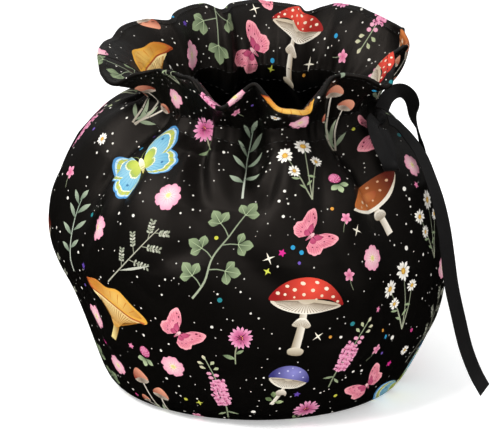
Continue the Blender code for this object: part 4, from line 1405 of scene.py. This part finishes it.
def indigo_cap(rng):
    """A violet cap seen from below, with pale gills and a frilled stem."""
    yield stem([(-0.4, -1.0), (-0.8, -7.0), (-1.8, -15.0)], 1.5, 1.9, "e8e0cf", "8b8070", -1.6, 0.8, -8)
    yield (closed([(-2.6, -5.4), (-0.6, -4.4), (1.6, -5.6), (2.2, -8.2), (0.6, -7.6), (-1.0, -8.8),
                   (-3.0, -7.6)]), upright("ebe2d0", "85796a", -4.4, -8.6))
    for x, y, lean in ((-2.0, -12.6, 160), (-1.4, -13.4, 20), (-2.2, -10.4, 120)):
        yield leaf(x, y, lean, 4.4, 2.4, 0.6), slanted("5d6f48", "b0c08b", x, y, x + 3, y + 3)
    yield (closed([(-9.0, 0.4), (-4.6, -2.8), (0.4, -3.4), (5.4, -2.2), (8.6, 1.4), (4.6, 3.0),
                   (-4.0, 3.0)], 4), upright("a8987f", "efe8d8", 3, -3.4))
    lip = bend([(-8.6, 0.4), (-4.6, -2.7), (0.4, -3.3), (5.4, -2.1), (8.2, 1.4)], 5)
    yield from gills((-0.4, 2.2), lip, "635647", 21, 0.3)
    yield (closed([(-9.4, 1.0), (-8.2, 5.4), (-4.4, 8.8), (0.6, 9.8), (5.4, 8.2), (8.6, 4.6), (9.0, 1.6),
                   (5.0, 2.2), (0.0, 2.4), (-5.0, 2.0)], 4), glow("8a88cc", "312f6c", 0.5, 6.4, 9.0))
    for x, y, r in ((-5.6, 4.4, 0.4), (-2.4, 6.6, 0.5), (0.8, 4.6, 0.35), (3.2, 7.2, 0.45), (5.8, 4.4, 0.4),
                    (-0.8, 8.6, 0.35)):
        yield dot(x, y, r, 6), even("c3c2e8")


# %% [markdown]
# Moths: a wing is a fan about its root, with its reach given at a few angles. Smaller copies of the
# same fan make the bands, because they all meet at the root.
# %% Moth motifs
MothLook = namedtuple("MothLook", "size fore hind bands vein marks mark body_top body_foot trim")
BLUE_MOTH = MothLook(
    1.0,
    fore=((62, 8.0), (52, 16.0), (42, 20.0), (30, 19.4), (16, 16.4), (4, 13.6), (-6, 11.0)),
    hind=((10, 11.0), (-8, 13.4), (-26, 14.6), (-44, 14.0), (-60, 11.6), (-76, 7.6)),
    bands=((1.0, "5f9fc4", "4a86b8"), (0.94, "a9cbdc", "b4d0e0"), (0.89, "8f9c46", "b2b853"),
           (0.79, "e6e2b4", "eeeac6"), (0.76, "a3cbd4", "6aa9c4"), (0.40, "e4e6a8", "efecc0"),
           (0.36, "c3c95a", "9cae43")),
    vein="3b83ad", marks=((10.6, 8.4, 0.8), (8.2, -4.8, 0.7)), mark="2d6a92",
    body_top="f0ecd0", body_foot="c6b455", trim="7f8a4a")
PINK_MOTH = MothLook(
    0.62,
    fore=((66, 5.4), (56, 9.6), (47, 11.6), (34, 10.4), (20, 8.4), (6, 7.0)),
    hind=((14, 6.4), (-6, 7.6), (-26, 7.9), (-46, 7.2), (-66, 5.2)),
    bands=((1.0, "d5728c", "efa0a8"), (0.88, "b94f70", "e58b98"), (0.70, "f0a9b0", "dd7d92"),
           (0.40, "c25678", "b2446b")),
    vein="94304f", mark="6d1f3a", marks=((5.2, 6.6, 0.55), (6.8, 7.2, 0.45), (3.6, 4.2, 0.4), (5.6, 3.4, 0.4),
                                         (4.2, -2.4, 0.4), (5.4, -0.8, 0.35)),
    body_top="f3c4c4", body_foot="c0617c", trim="7d2c46")


def fan(reaches, scale, root, side, scallop):
    """A wing's outline from reaches given as (degrees, millimetres), shrunk towards its root."""
    rows = bend(reaches, 6)
    a, r = np.radians(rows[:, 0]), rows[:, 1] * scale
    r = r * (1 + scallop * np.abs(np.sin(a * 9)))
    points = np.stack([root[0] + r * np.cos(a), root[1] + r * np.sin(a)], axis=1)
    return np.concatenate([[root], points]) * (side, 1)


def moth(look):
    """Two pairs of wings, their bands and veins, and a body with feelers."""
    size = look.size
    for side in (1, -1):
        for reaches, root, scallop in ((look.hind, (0.5, 0.2), 0.05), (look.fore, (0.5, 0.6), 0.02)):
            for scale, inner, outer in look.bands:
                reach = scale * max(r for _, r in reaches)
                yield (fan(reaches, scale, root, side, scallop),
                       glow(inner, outer, root[0] * side, root[1], reach))
            for k in np.linspace(0.12, 0.88, 8):
                turn, reach = blend(np.array(reaches, float), np.array([k * (len(reaches) - 1)]))[0]
                line = [way(turn, reach * share, *root) for share in (0.3, 0.62, 0.94)]
                yield stroke(np.array(line) * (side, 1), 0.10 * size, 0.16 * size), even(look.vein)
        for x, y, r in look.marks:
            yield dot(x * side, y, r, 7, 0.7, 40 * side), even(look.mark)
        feeler = bend([(0.4 * side, 3.0 * size), (1.6 * side, 5.0 * size), (3.6 * side, 6.2 * size)], 3)
        yield stroke(feeler, 0.25, 0.12), even(look.trim)
    body = np.array([(0, 3.4), (-1.1, 1.8), (-0.9, -1.5), (0, -5.2), (0.9, -1.5), (1.1, 1.8)]) * size
    yield closed(body), upright(look.body_top, look.body_foot, 3 * size, -5 * size)
    for y in (-0.6, -1.7, -2.8, -3.8):
        yield stroke([(-0.75 * size, y * size), (0.75 * size, y * size)], 0.25, 0.25), even(look.trim)


def blue_moth(rng):
    """A broad moth in blue, green and yellow."""
    return moth(BLUE_MOTH)


def pink_moth(rng):
    """A small rose-pink moth with dark flecks."""
    return moth(PINK_MOTH)


# %% [markdown]
# Small flowers, stars and dots fill the ground between the larger motifs.
# %% Small motifs
def clover_head(rng):
    """A round pink clover flower over three leaves."""
    for lean in (200, 340, 262):
        yield leaf(0, -3.0, lean, 5.6, 3.4, 0.58), slanted("58694c", "a8b88f", 0, -3, way(lean, 4)[0], -6)
    yield dot(0, 1.4, 3.3, 14), glow("d9799f", "a83f6d", -0.6, 2.4, 3.8)
    florets = 22
    for k in range(florets):
        r, a = 3.0 * math.sqrt((k + 0.5) / florets), 2.4 * k
        x, y = r * math.cos(a), 1.4 + r * math.sin(a)
        yield leaf(x, y, math.degrees(a) + 90, 0.95, 0.5, 0.5, 1), even("e9a6c0")


def single_daisy(rng):
    """A daisy without a stem."""
    return daisy_head(0, 0, 5.6, rng)


def small_pink(rng):
    """A little five-pointed pink flower."""
    for k in range(5):
        yield leaf(0, 0, 72 * k + 90, 3.0, 2.0, 0.55, 3), glow("c2557f", "f0a5bd", 0, 0, 3.0)
    yield stroke([(0.3, -0.8), (1.2, -4.0), (2.6, -6.4)], 0.3, 0.2), even("8c9478")


def star(points, radius, waist, colour):
    """A pen for a star. waist is how far its inner corners stand out, as a share of its radius."""
    a = np.radians(90 + np.arange(2 * points) * 180 / points)
    r = np.where(np.arange(2 * points) % 2 == 0, radius, radius * waist)
    return lambda rng: [(np.stack([r * np.cos(a), r * np.sin(a)], axis=1), even(colour))]


def speck(radius, colour):
    """A pen for a round spot, with more corners the larger it is."""
    corners = 10 if radius > 0.8 else 7 if radius > 0.4 else 6
    return lambda rng: [(dot(0, 0, radius, corners), even(colour))]


print("outlines in a blossom:", len(list(blossom(np.random.default_rng(0)))))

# %% [markdown]
# ## Laying the print out
#
# Cloth that is gathered keeps its own lengths, so a motif near the casing looks narrow and folded.
# A table of true lengths round the cloth, at each height of the map, turns a motif's millimetres
# into places on the map, and back again where a paint needs them.
# %% Distances on the cloth
TABLE_RUN = 2.0
ClothTable = namedtuple("ClothTable", "angles runs lengths points")


def cloth_table(first_side, last_side):
    """Lengths round the cloth from the first side, and places in space, at a grid of map spots."""
    angles = np.arange(first_side - 3.0, last_side + 3.5, 1.0)
    runs = np.arange(MAP_BOTTOM, PRINT_TOP + 14.0, TABLE_RUN)
    at_angle, at_run = np.meshgrid(angles, runs)
    points = skin(at_angle.ravel(), at_run.ravel()).reshape(len(runs), len(angles), 3)
    steps = np.linalg.norm(np.diff(points, axis=1), axis=2)
    lengths = np.concatenate([np.zeros((len(runs), 1)), np.cumsum(steps, axis=1)], axis=1)
    past_rim = np.maximum(0.0, at_run - RUN_UP - FOLD_RUN / 2)
    return ClothTable(angles, runs, lengths, np.concatenate([points, past_rim[:, :, None]], axis=2))


def look_up(table, values, angle, run):
    """Values of the grid between its spots."""
    i = np.clip((run - table.runs[0]) / TABLE_RUN, 0, len(table.runs) - 1.001)
    j = angle - table.angles[0]
    i0, j0 = i.astype(int), np.clip(j.astype(int), 0, len(table.angles) - 2)
    u, v = i - i0, j - j0
    if values.ndim == 3:
        u, v = u[:, None], v[:, None]
    low = values[i0, j0] * (1 - v) + values[i0, j0 + 1] * v
    return low * (1 - u) + (values[i0 + 1, j0] * (1 - v) + values[i0 + 1, j0 + 1] * v) * u


def to_map(table, spot, local):
    """Angles and lengths up the map of a motif's own points, in millimetres from its spot."""
    local = turned(local * (spot.flip, 1), spot.lean) * spot.size
    run = spot.run + local[:, 1]
    i = np.clip((run - table.runs[0]) / TABLE_RUN, 0, len(table.runs) - 1.001)
    i0, u = i.astype(int), (i - i.astype(int))[:, None]
    rows = table.lengths[i0] * (1 - u) + table.lengths[i0 + 1] * u
    wanted = look_up(table, table.lengths, np.full_like(run, spot.angle), run) + local[:, 0]
    j = np.clip((rows < wanted[:, None]).sum(axis=1) - 1, 0, rows.shape[1] - 2)
    each = np.arange(len(j))
    share = (wanted - rows[each, j]) / (rows[each, j + 1] - rows[each, j])
    return table.angles[0] + j + share, run


# %% [markdown]
# Motifs are laid one by one, the largest first. Each tries many spots and takes the one that is
# furthest from its neighbours, which spreads them as evenly as a printer's repeat. Most stand up
# the cloth with a small lean. Inside the ruffle they stand towards the rim too.
# %% Packing
Spot = namedtuple("Spot", "angle run lean flip size")
Kind = namedtuple("Kind", "draw size count lean gap zone")
Zone = namedtuple("Zone", "half_turn low high")
ANYWHERE = Zone(90.0, 2.0, PRINT_TOP - 6.0)
BELLY = Zone(50.0, 22.0, RUN_TO_NECK - 24.0)
# The spacing of a motif's cells, and how far past the best gap so far its neighbours are looked for
CELL = 2.2
LOOK_PAST = 6
# What one panel carries, the largest first: how large, how many, how far each leans, and the least gap
PRINT_KINDS = (
    Kind(toadstool, 1.12, 1, 12, 2.5, BELLY), Kind(blue_moth, 1.0, 1, 50, 2.5, BELLY),
    Kind(trumpet, 1.08, 1, 10, 2.5, BELLY), Kind(flat_cap, 1.05, 1, 10, 2.5, BELLY),
    Kind(blue_moth, 1.0, 1, 60, 2.5, ANYWHERE),
    Kind(toadstool, 1.12, 1, 16, 2.5, ANYWHERE), Kind(trumpet, 1.08, 1, 14, 2.5, ANYWHERE),
    Kind(flat_cap, 1.05, 1, 12, 2.5, ANYWHERE), Kind(clover, 1.35, 4, 22, 2.0, ANYWHERE),
    Kind(flower_spike, 1.2, 5, 20, 2.0, ANYWHERE), Kind(daisy_spray, 1.2, 4, 22, 1.8, ANYWHERE),
    Kind(bonnets, 1.1, 4, 14, 1.8, ANYWHERE), Kind(narrow_leaves, 1.2, 3, 20, 1.6, ANYWHERE),
    Kind(feather_grass, 1.3, 3, 25, 1.6, ANYWHERE), Kind(indigo_cap, 1.0, 2, 25, 1.8, ANYWHERE),
    Kind(pink_moth, 1.05, 4, 60, 1.8, ANYWHERE), Kind(aster, 1.0, 5, 35, 1.5, ANYWHERE),
    Kind(blossom, 0.94, 14, 180, 1.4, ANYWHERE), Kind(clover_head, 0.9, 4, 25, 1.2, ANYWHERE),
    Kind(single_daisy, 0.85, 5, 180, 1.1, ANYWHERE), Kind(small_pink, 0.9, 7, 60, 1.0, ANYWHERE),
)


def footprint(shapes):
    """A thin net of points that covers a motif, in its own frame."""
    rows = [outline.mean(axis=0) * (1 - share) + outline * share
            for outline, _ in shapes for share in (0.0, 0.35, 0.7, 1.0)]
    cells = np.unique(np.round(np.concatenate([np.atleast_2d(row) for row in rows]) / CELL), axis=0)
    return cells * CELL


def random_spot(rng, middle, kind, reach):
    """A spot to try for a motif. Past the rim it is turned over, to stand towards the rim."""
    run = rng.uniform(max(kind.zone.low, min(reach, 12.0) + 3.0), kind.zone.high)
    lean = (180.0 if run > RUN_UP + 6 else 0.0) + rng.uniform(-kind.lean, kind.lean)
    angle = middle + rng.uniform(-kind.zone.half_turn, kind.zone.half_turn)
    return Spot(angle, run, lean, rng.choice((-1, 1)), kind.size * rng.uniform(0.94, 1.06))


def lay_motifs(table, middle, rng, tries=60):
    """The printed shapes of one panel, without its dots, and the places that they take."""
    placed, taken = [], np.zeros((0, 4))
    for kind in PRINT_KINDS:
        for _ in range(kind.count):
            shapes = list(kind.draw(rng))
            cells = footprint(shapes)
            reach = np.abs(cells).max() * kind.size
            best, best_gap, best_places = None, kind.gap, None
            for _ in range(tries):
                spot = random_spot(rng, middle, kind, reach)
                centre = look_up(table, table.points, np.array([spot.angle]), np.array([spot.run]))
                near = taken[np.linalg.norm(taken - centre, axis=1) < reach * 1.42 + best_gap + LOOK_PAST]
                places = look_up(table, table.points, *to_map(table, spot, cells))
                if len(near):
                    gap = np.linalg.norm(places[:, None] - near[None], axis=2).min() - CELL / 2
                else:
                    gap = best_gap + LOOK_PAST
                if gap > best_gap:
                    best, best_gap, best_places = spot, gap, places
            if best:
                placed.append((best, shapes))
                taken = np.concatenate([taken, best_places])
    return placed, taken


# %% [markdown]
# The dots and stars come last, in one throw each: spots that keep clear of the motifs and of one
# another. Most dots are white and small, as spatter is, and a few are large or coloured.
# %% Dots and stars
DotKind = namedtuple("DotKind", "draw count gap")
DOT_KINDS = (
    DotKind(star(4, 2.8, 0.2, "f0e8d4"), 6, 1.4), DotKind(star(5, 1.8, 0.5, "cf2a86"), 6, 1.2),
    DotKind(star(5, 1.7, 0.5, "5c3f9e"), 5, 1.2), DotKind(star(5, 1.7, 0.5, "dd7fa4"), 5, 1.2),
    DotKind(star(4, 1.8, 0.35, "c4c84e"), 4, 1.2), DotKind(speck(1.1, "237a80"), 8, 1.0),
    DotKind(speck(1.0, "2c93c0"), 8, 1.0), DotKind(speck(0.9, "bdbd42"), 5, 1.0),
    DotKind(speck(1.0, "bd3a7c"), 5, 1.0), DotKind(speck(0.8, "d0913a"), 5, 0.9),
    DotKind(speck(0.7, "6a50a8"), 6, 0.9), DotKind(speck(1.05, "ece8de"), 15, 1.0),
    DotKind(speck(0.7, "e4e0d6"), 48, 0.8), DotKind(speck(0.48, "dcd8ce"), 130, 0.6),
    DotKind(speck(0.34, "ccc8c0"), 260, 0.3), DotKind(speck(0.24, "b8b5ae"), 160, 0.2),
)
# How many spots are tried for each dot that is wanted
DOT_TRIES = 5


def lay_dots(table, first_side, last_side, rng, taken):
    """Spots for the dots and stars between the motifs."""
    placed = []
    for kind in DOT_KINDS:
        shapes = kind.draw(rng)
        radius = np.abs(shapes[0][0]).max()
        count = kind.count * DOT_TRIES
        angle = rng.uniform(first_side, last_side, count)
        run = rng.uniform(2.5, PRINT_TOP - 1.5, count)
        places = look_up(table, table.points, angle, run)
        clear = radius + kind.gap + CELL / 2
        kept = 0
        for k in range(count):
            if kept < kind.count and np.linalg.norm(taken - places[k], axis=1).min() > clear:
                placed.append((Spot(angle[k], run[k], rng.uniform(0, 360), 1, 1.0), shapes))
                taken = np.concatenate([taken, places[k:k + 1]])
                kept += 1
    return placed


def in_steps(outline, longest=2.0):
    """The same closed outline with its long edges cut into short ones."""
    points = []
    for a, b in zip(outline, np.roll(outline, -1, axis=0)):
        cuts = max(1, math.ceil(np.linalg.norm(b - a) / longest))
        points += [a + (b - a) * k / cuts for k in range(cuts)]
    return np.array(points)


def printed_shapes(table, first_side, last_side, seed):
    """All the shapes of one panel's print, in drawing order, as outlines on the map."""
    rng = np.random.default_rng(seed)
    motifs, taken = lay_motifs(table, (first_side + last_side) / 2, rng)
    dots = lay_dots(table, first_side, last_side, rng, taken)
    made = []
    for spot, shapes in motifs + dots:
        for outline, paint in shapes:
            angle, run = to_map(table, spot, in_steps(outline))
            ring = np.stack([map_x(angle), np.clip(run, 0.4, PRINT_TOP + 8)], axis=1)
            following = np.roll(ring, -1, axis=0)
            if np.sum(ring[:, 0] * following[:, 1] - following[:, 0] * ring[:, 1]) < 0:
                ring = ring[::-1]
            made.append(Shape(ring, paint, spot))
    print("motifs:", len(motifs), "dots and stars:", len(dots), "shapes:", len(made))
    return made


# %% [markdown]
# ## The printed panels
#
# Each corner of each triangle takes its colour from the topmost shape's paint. A corner's place in
# the motif's own frame comes from the same table of lengths, so a fade runs as it was drawn.
# %% Colours of the print
CLOTH_BLACK = linear("080706")
INNER_BLACK = linear("060606")
# How strong the ink lies on the cloth
INK = 0.84
# Where a paint's row holds its start, its end, its reach, and whether it runs outwards
START, END, REACH, OUTWARDS = slice(6, 8), slice(8, 10), 8, 10


def print_colours(table, shapes):
    """A rule from map spots and their topmost shapes to colours."""
    paints = np.array([shape.paint for shape in shapes])
    spots = np.array([shape.spot for shape in shapes])

    def colour_of(flat, owner):
        """The colour at each map spot. An owner of -1 is plain cloth."""
        colours = np.where(flat[:, 1:] > PRINT_TOP + 1, INNER_BLACK, CLOTH_BLACK)
        inked = owner >= 0
        paint, spot = paints[owner[inked]], Spot(*spots[owner[inked]].T)
        angle, run = flat[inked, 0] / MAP_MM_PER_DEGREE, flat[inked, 1]
        x = look_up(table, table.lengths, angle, run) - look_up(table, table.lengths, spot.angle, run)
        y = run - spot.run
        c, s = np.cos(np.radians(spot.lean)), np.sin(np.radians(spot.lean))
        own = np.stack([(x * c + y * s) * spot.flip, y * c - x * s], axis=1) / spot.size[:, None]
        start = paint[:, START]
        span = paint[:, END] - start
        straight = np.sum((own - start) * span, axis=1) / np.maximum(np.sum(span * span, axis=1), 1e-9)
        round_share = np.linalg.norm(own - start, axis=1) / np.maximum(paint[:, REACH], 1e-9)
        share = np.clip(np.where(paint[:, OUTWARDS] > 0.5, round_share, straight), 0, 1)[:, None]
        colours[inked] = (paint[:, :3] * (1 - share) + paint[:, 3:6] * share) * INK
        return colours
    return colour_of


# %% [markdown]
# The cloth is a smooth woven polyester: matt, with a faint bloom where light grazes it. Its
# threads are a bump on the flat map. The print sits in the threads, and its colour is painted darker
# in the hollows between them, as painted shade, so the weave shows through it; the tone drifts a
# little, as it does on cloth that has been washed and folded.
# %% Cloth material
THREAD_PITCH = 0.45


def cloth_material():
    """Black woven polyester, with the print's colours under its threads, painted darker between them as
    shade.
    """
    material, tree, shader = new_material("printed black cloth", {
        "Roughness": 0.4, "Specular IOR Level": 0.1, "Specular Tint": (1.0, 0.86, 0.76, 1.0),
        "Sheen Weight": 0.004, "Sheen Roughness": 0.35, "Sheen Tint": (1.0, 0.86, 0.76, 1.0)})
    link = tree.links.new
    threads = use_group(tree, WEAVE, Map=flat_map(tree), Warp_pitch=THREAD_PITCH, Weft_pitch=THREAD_PITCH,
                        Unevenness=0.3)
    add_bump(tree, shader, threads.outputs["Height"], strength=0.4, distance=0.0001)
    ink = node(tree, "ShaderNodeAttribute", attribute_name="print")
    tone = use_group(tree, WEAR, Size=22.0, Strength=0.35)
    # Painted shade: the colour is darker in the hollows between the threads, times a slow random tone.
    shade = maths(tree, "MULTIPLY", tone.outputs["Tone"],
                  maths(tree, "ADD", 0.84, maths(tree, "MULTIPLY", threads.outputs["Height"], 0.16)))
    dyed = node(tree, "ShaderNodeVectorMath", operation="SCALE")
    link(ink.outputs["Color"], dyed.inputs[0])
    link(shade, dyed.inputs["Scale"])
    link(dyed.outputs[0], shader.inputs["Base Color"])
    rough = maths(tree, "ADD", 0.29, maths(tree, "MULTIPLY", tone.outputs["Wear"], 0.3))
    link(rough, shader.inputs["Roughness"])
    return material


CLOTH_MATERIAL = cloth_material()


def printed_panel(name, first_side, last_side, seed):
    """One panel between two side angles, with its own layout of the print."""
    table = cloth_table(first_side, last_side)
    shapes = printed_shapes(table, first_side, last_side, seed)
    made = closed_panel(name, first_side, last_side, [shape.outline for shape in shapes],
                        print_colours(table, shapes), CLOTH_MATERIAL)
    print(name, "triangles:", len(made.data.polygons))
    return made


front = printed_panel("front_panel_cloth", 180, 360, seed=1)
back = printed_panel("back_panel_cloth", 0, 180, seed=2)

# %% [markdown]
# ## Stitches
#
# A row of stitches follows a line on the cloth, so it suits Geometry Nodes: the line becomes a
# curve, the curve gives evenly spaced points, and each point carries one short, slightly uneven
# thread that lies along the line. Rows run inside the rim, and above and below the ribbon's casing.
# %% Stitch tree
def link_all(tree, pairs):
    """A link from each pair's first socket to its second."""
    for start, end in pairs:
        tree.links.new(start, end)


def stitch_tree():
    """Geometry Nodes that turn a line into a row of threads."""
    tree = bpy.data.node_groups.new("stitch row", "GeometryNodeTree")
    tree.interface.new_socket(name="Line", in_out="INPUT", socket_type="NodeSocketGeometry")
    for label, default in (("Pitch", 0.003), ("Stitch length", 0.0022), ("Thread width", 0.0003),
                           ("Unevenness", 0.12)):
        made = tree.interface.new_socket(name=label, in_out="INPUT", socket_type="NodeSocketFloat")
        made.default_value = default
    tree.interface.new_socket(name="Seed", in_out="INPUT", socket_type="NodeSocketInt").default_value = 4
    tree.interface.new_socket(name="Thread", in_out="INPUT", socket_type="NodeSocketMaterial")
    tree.interface.new_socket(name="Stitches", in_out="OUTPUT", socket_type="NodeSocketGeometry")
    given, out = node(tree, "NodeGroupInput"), node(tree, "NodeGroupOutput")
    curve = node(tree, "GeometryNodeMeshToCurve")
    spaced = node(tree, "GeometryNodeResampleCurve", mode="LENGTH")
    bead = node(tree, "GeometryNodeMeshIcoSphere")
    bead.inputs["Radius"].default_value = 0.5
    size = node(tree, "ShaderNodeCombineXYZ")
    thread = node(tree, "GeometryNodeTransform")
    place = node(tree, "GeometryNodeInstanceOnPoints")
    tangent = node(tree, "GeometryNodeInputTangent")
    turn = node(tree, "FunctionNodeAlignRotationToVector", axis="X")
    uneven = node(tree, "FunctionNodeRandomValue", data_type="FLOAT")
    real = node(tree, "GeometryNodeRealizeInstances")
    smooth = node(tree, "GeometryNodeSetShadeSmooth")
    finish = node(tree, "GeometryNodeSetMaterial")
    link_all(tree, (
        (given.outputs["Line"], curve.inputs[0]), (curve.outputs[0], spaced.inputs["Curve"]),
        (given.outputs["Pitch"], spaced.inputs["Length"]), (given.outputs["Stitch length"], size.inputs["X"]),
        (given.outputs["Thread width"], size.inputs["Y"]), (given.outputs["Thread width"], size.inputs["Z"]),
        (bead.outputs["Mesh"], thread.inputs["Geometry"]), (size.outputs[0], thread.inputs["Scale"]),
        (spaced.outputs[0], place.inputs["Points"]), (thread.outputs[0], place.inputs["Instance"]),
        (tangent.outputs[0], turn.inputs["Vector"]), (turn.outputs[0], place.inputs["Rotation"]),
        (maths(tree, "SUBTRACT", 1.0, given.outputs["Unevenness"]), uneven.inputs[2]),
        (maths(tree, "ADD", 1.0, given.outputs["Unevenness"]), uneven.inputs[3]),
        (given.outputs["Seed"], uneven.inputs["Seed"]), (uneven.outputs[1], place.inputs["Scale"]),
        (place.outputs[0], real.inputs[0]), (real.outputs[0], smooth.inputs["Geometry"]),
        (smooth.outputs[0], finish.inputs["Geometry"]), (given.outputs["Thread"], finish.inputs["Material"]),
        (finish.outputs[0], out.inputs[0])))
    return tree


STITCH_TREE = stitch_tree()
THREAD, thread_tree, thread_shader = new_material("black polyester thread", {
    "Base Color": (*linear("1c1b1a"), 1.0), "Roughness": 0.5, "Specular IOR Level": 0.3})
thread_tone = use_group(thread_tree, WEAR, Size=5.0, Strength=0.3)
thread_rough = maths(thread_tree, "MULTIPLY", thread_tone.outputs["Tone"], 0.5)
thread_tree.links.new(thread_rough, thread_shader.inputs["Roughness"])
print("stitch tree:", len(STITCH_TREE.nodes), "nodes")


# %% [markdown]
# A stitch shows on both faces of the cloth, so each row is laid twice, outside and inside. The rows
# stop short of the side seams, where the thread is tied off. The threads are kept as a plain mesh.
# %% Stitch rows
Stitching = namedtuple("Stitching", "pitch length width")
STITCHING = Stitching(3.0, 2.2, 0.32)


def row_runs():
    """Where the rows lie on the map: each shows on the outside and again on the inside."""
    outside = [RUN_UP - RIM_STITCH_INSET] + [RUN_TO_NECK + line for line in CASING_LINES]
    return outside + [2 * RUN_UP + FOLD_RUN - run for run in outside]


def stitches(name, first_side, last_side, stitching, seed):
    """The stitch rows of one panel, as one plain mesh."""
    points, edges = [], []
    for run in row_runs():
        angle = np.arange(first_side + 2.5, last_side - 2.4, 0.35)
        runs = np.full_like(angle, run)
        row = skin(angle, runs) + skin_normals(angle, runs) * stitching.width * 0.25
        edges += [(len(points) + k, len(points) + k + 1) for k in range(len(row) - 1)]
        points += to_scene(row).tolist()
    mesh = bpy.data.meshes.new(name)
    mesh.from_pydata(points, edges, [])
    line = add_object(name, mesh)
    modifier = line.modifiers.new("stitches", "NODES")
    modifier.node_group = STITCH_TREE
    values = {"Pitch": stitching.pitch * MM, "Stitch length": stitching.length * MM,
              "Thread width": stitching.width * MM, "Seed": seed, "Thread": THREAD}
    for item in STITCH_TREE.interface.items_tree:
        if item.in_out == "INPUT" and item.name in values:
            modifier[item.identifier] = values[item.name]
    shown = line.evaluated_get(bpy.context.evaluated_depsgraph_get())
    made = bpy.data.meshes.new_from_object(shown)
    line.modifiers.remove(modifier)
    line.data = made
    line.data.name = name
    print(name, "faces:", len(made.polygons))
    return line


front_stitches = stitches("front_panel_stitches", 180, 360, STITCHING, seed=4)
back_stitches = stitches("back_panel_stitches", 0, 180, STITCHING, seed=9)

# %% [markdown]
# ## Floor and light
#
# The cosy stands on a pale floor that runs out of the picture. The surrounding is white overhead
# and dark at the horizon, as under a studio's roof light, which keeps black cloth black. A lamp
# high on the left and a weak, wide one at the front draw soft highlights along the folds. The floor
# glows a little, as a light table does, so that the cosy's shadow stays faint, and it leaves no
# gleam on the cloth, because at its edges the black would turn grey from it.
# %% Floor and lamps
FLOOR_SIZE = 6.0
FLOOR_GLOW = 0.35
# The surrounding's light at its brightest, and how high up it is that bright
SKY_LIGHT = 1.2
SKY_BRIGHT_FROM = 0.9
LAMP_AIM = (0.0, 0.0, 0.08)


def soft_lamp(name, place, size, watts):
    """A square lamp at a place in metres, turned towards the cosy."""
    data = bpy.data.lights.new(name, "AREA")
    data.size = size
    data.energy = watts
    lamp = add_object(name, data)
    lamp.location = place
    lamp.rotation_euler = (Vector(LAMP_AIM) - Vector(place)).to_track_quat("-Z", "Y").to_euler()
    return lamp


floor_material, _, _ = new_material("pale floor", {
    "Base Color": (0.93, 0.93, 0.93, 1.0), "Roughness": 0.8,
    "Emission Color": (1.0, 1.0, 1.0, 1.0), "Emission Strength": FLOOR_GLOW})
floor_half = FLOOR_SIZE / 2
floor_mesh = bpy.data.meshes.new("floor")
floor_mesh.from_pydata([(x * floor_half, y * floor_half, 0) for x, y in ((-1, -1), (1, -1), (1, 1), (-1, 1))],
                       [], [(0, 1, 2, 3)])
floor_mesh.materials.append(floor_material)
floor = add_object("floor", floor_mesh)
floor.visible_glossy = False

world = bpy.data.worlds.new("studio")
bpy.context.scene.world = world
world.use_nodes = True
surround = world.node_tree.nodes["Background"]
surround.inputs["Color"].default_value = (1.0, 1.0, 1.0, 1.0)
sky = node(world.node_tree, "ShaderNodeTexCoord")
height = node(world.node_tree, "ShaderNodeSeparateXYZ")
glow_up = node(world.node_tree, "ShaderNodeMapRange")
glow_up.inputs["From Max"].default_value = SKY_BRIGHT_FROM
glow_up.inputs["To Max"].default_value = SKY_LIGHT
link_all(world.node_tree, (
    (sky.outputs["Generated"], height.inputs[0]), (height.outputs["Z"], glow_up.inputs["Value"]),
    (glow_up.outputs["Result"], surround.inputs["Strength"])))
key = soft_lamp("key lamp", (-0.6, -0.55, 1.0), size=0.4, watts=14.0)
fill = soft_lamp("front lamp", (0.45, -1.1, 0.35), size=0.8, watts=4.0)
bpy.context.scene.view_settings.view_transform = "Standard"
print("lamps:", key.name, key.data.energy, "W,", fill.name, fill.data.energy, "W")

# %% [markdown]
# ## Attaching the pieces
# Each piece hides the solid that it stands for and hangs from the root, and so do the stitches.
# The panels are sheets of cloth, drawn in at the neck. The two tails are free ribbon ends, cut
# plain, and the loop starts and ends at the knot.
# %% Hiding the solids
for piece, solid in ((front, "front_panel"), (back, "back_panel"), (knot, "ribbon_knot"),
                     (front_tail, "ribbon_front_tail"), (back_tail, "ribbon_back_tail"),
                     (loop, "ribbon_loop")):
    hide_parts(solid)
    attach(piece, "root")
    "ribbon" if "ribbon" in piece.name else "cloth"

widest = np.arange(0.0, 180.5, 3.0)
belly = cloth_middle(widest + 180, np.full_like(widest, 7.0))
for panel, rows in ((front, front_stitches), (back, back_stitches)):
    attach(rows, "root")
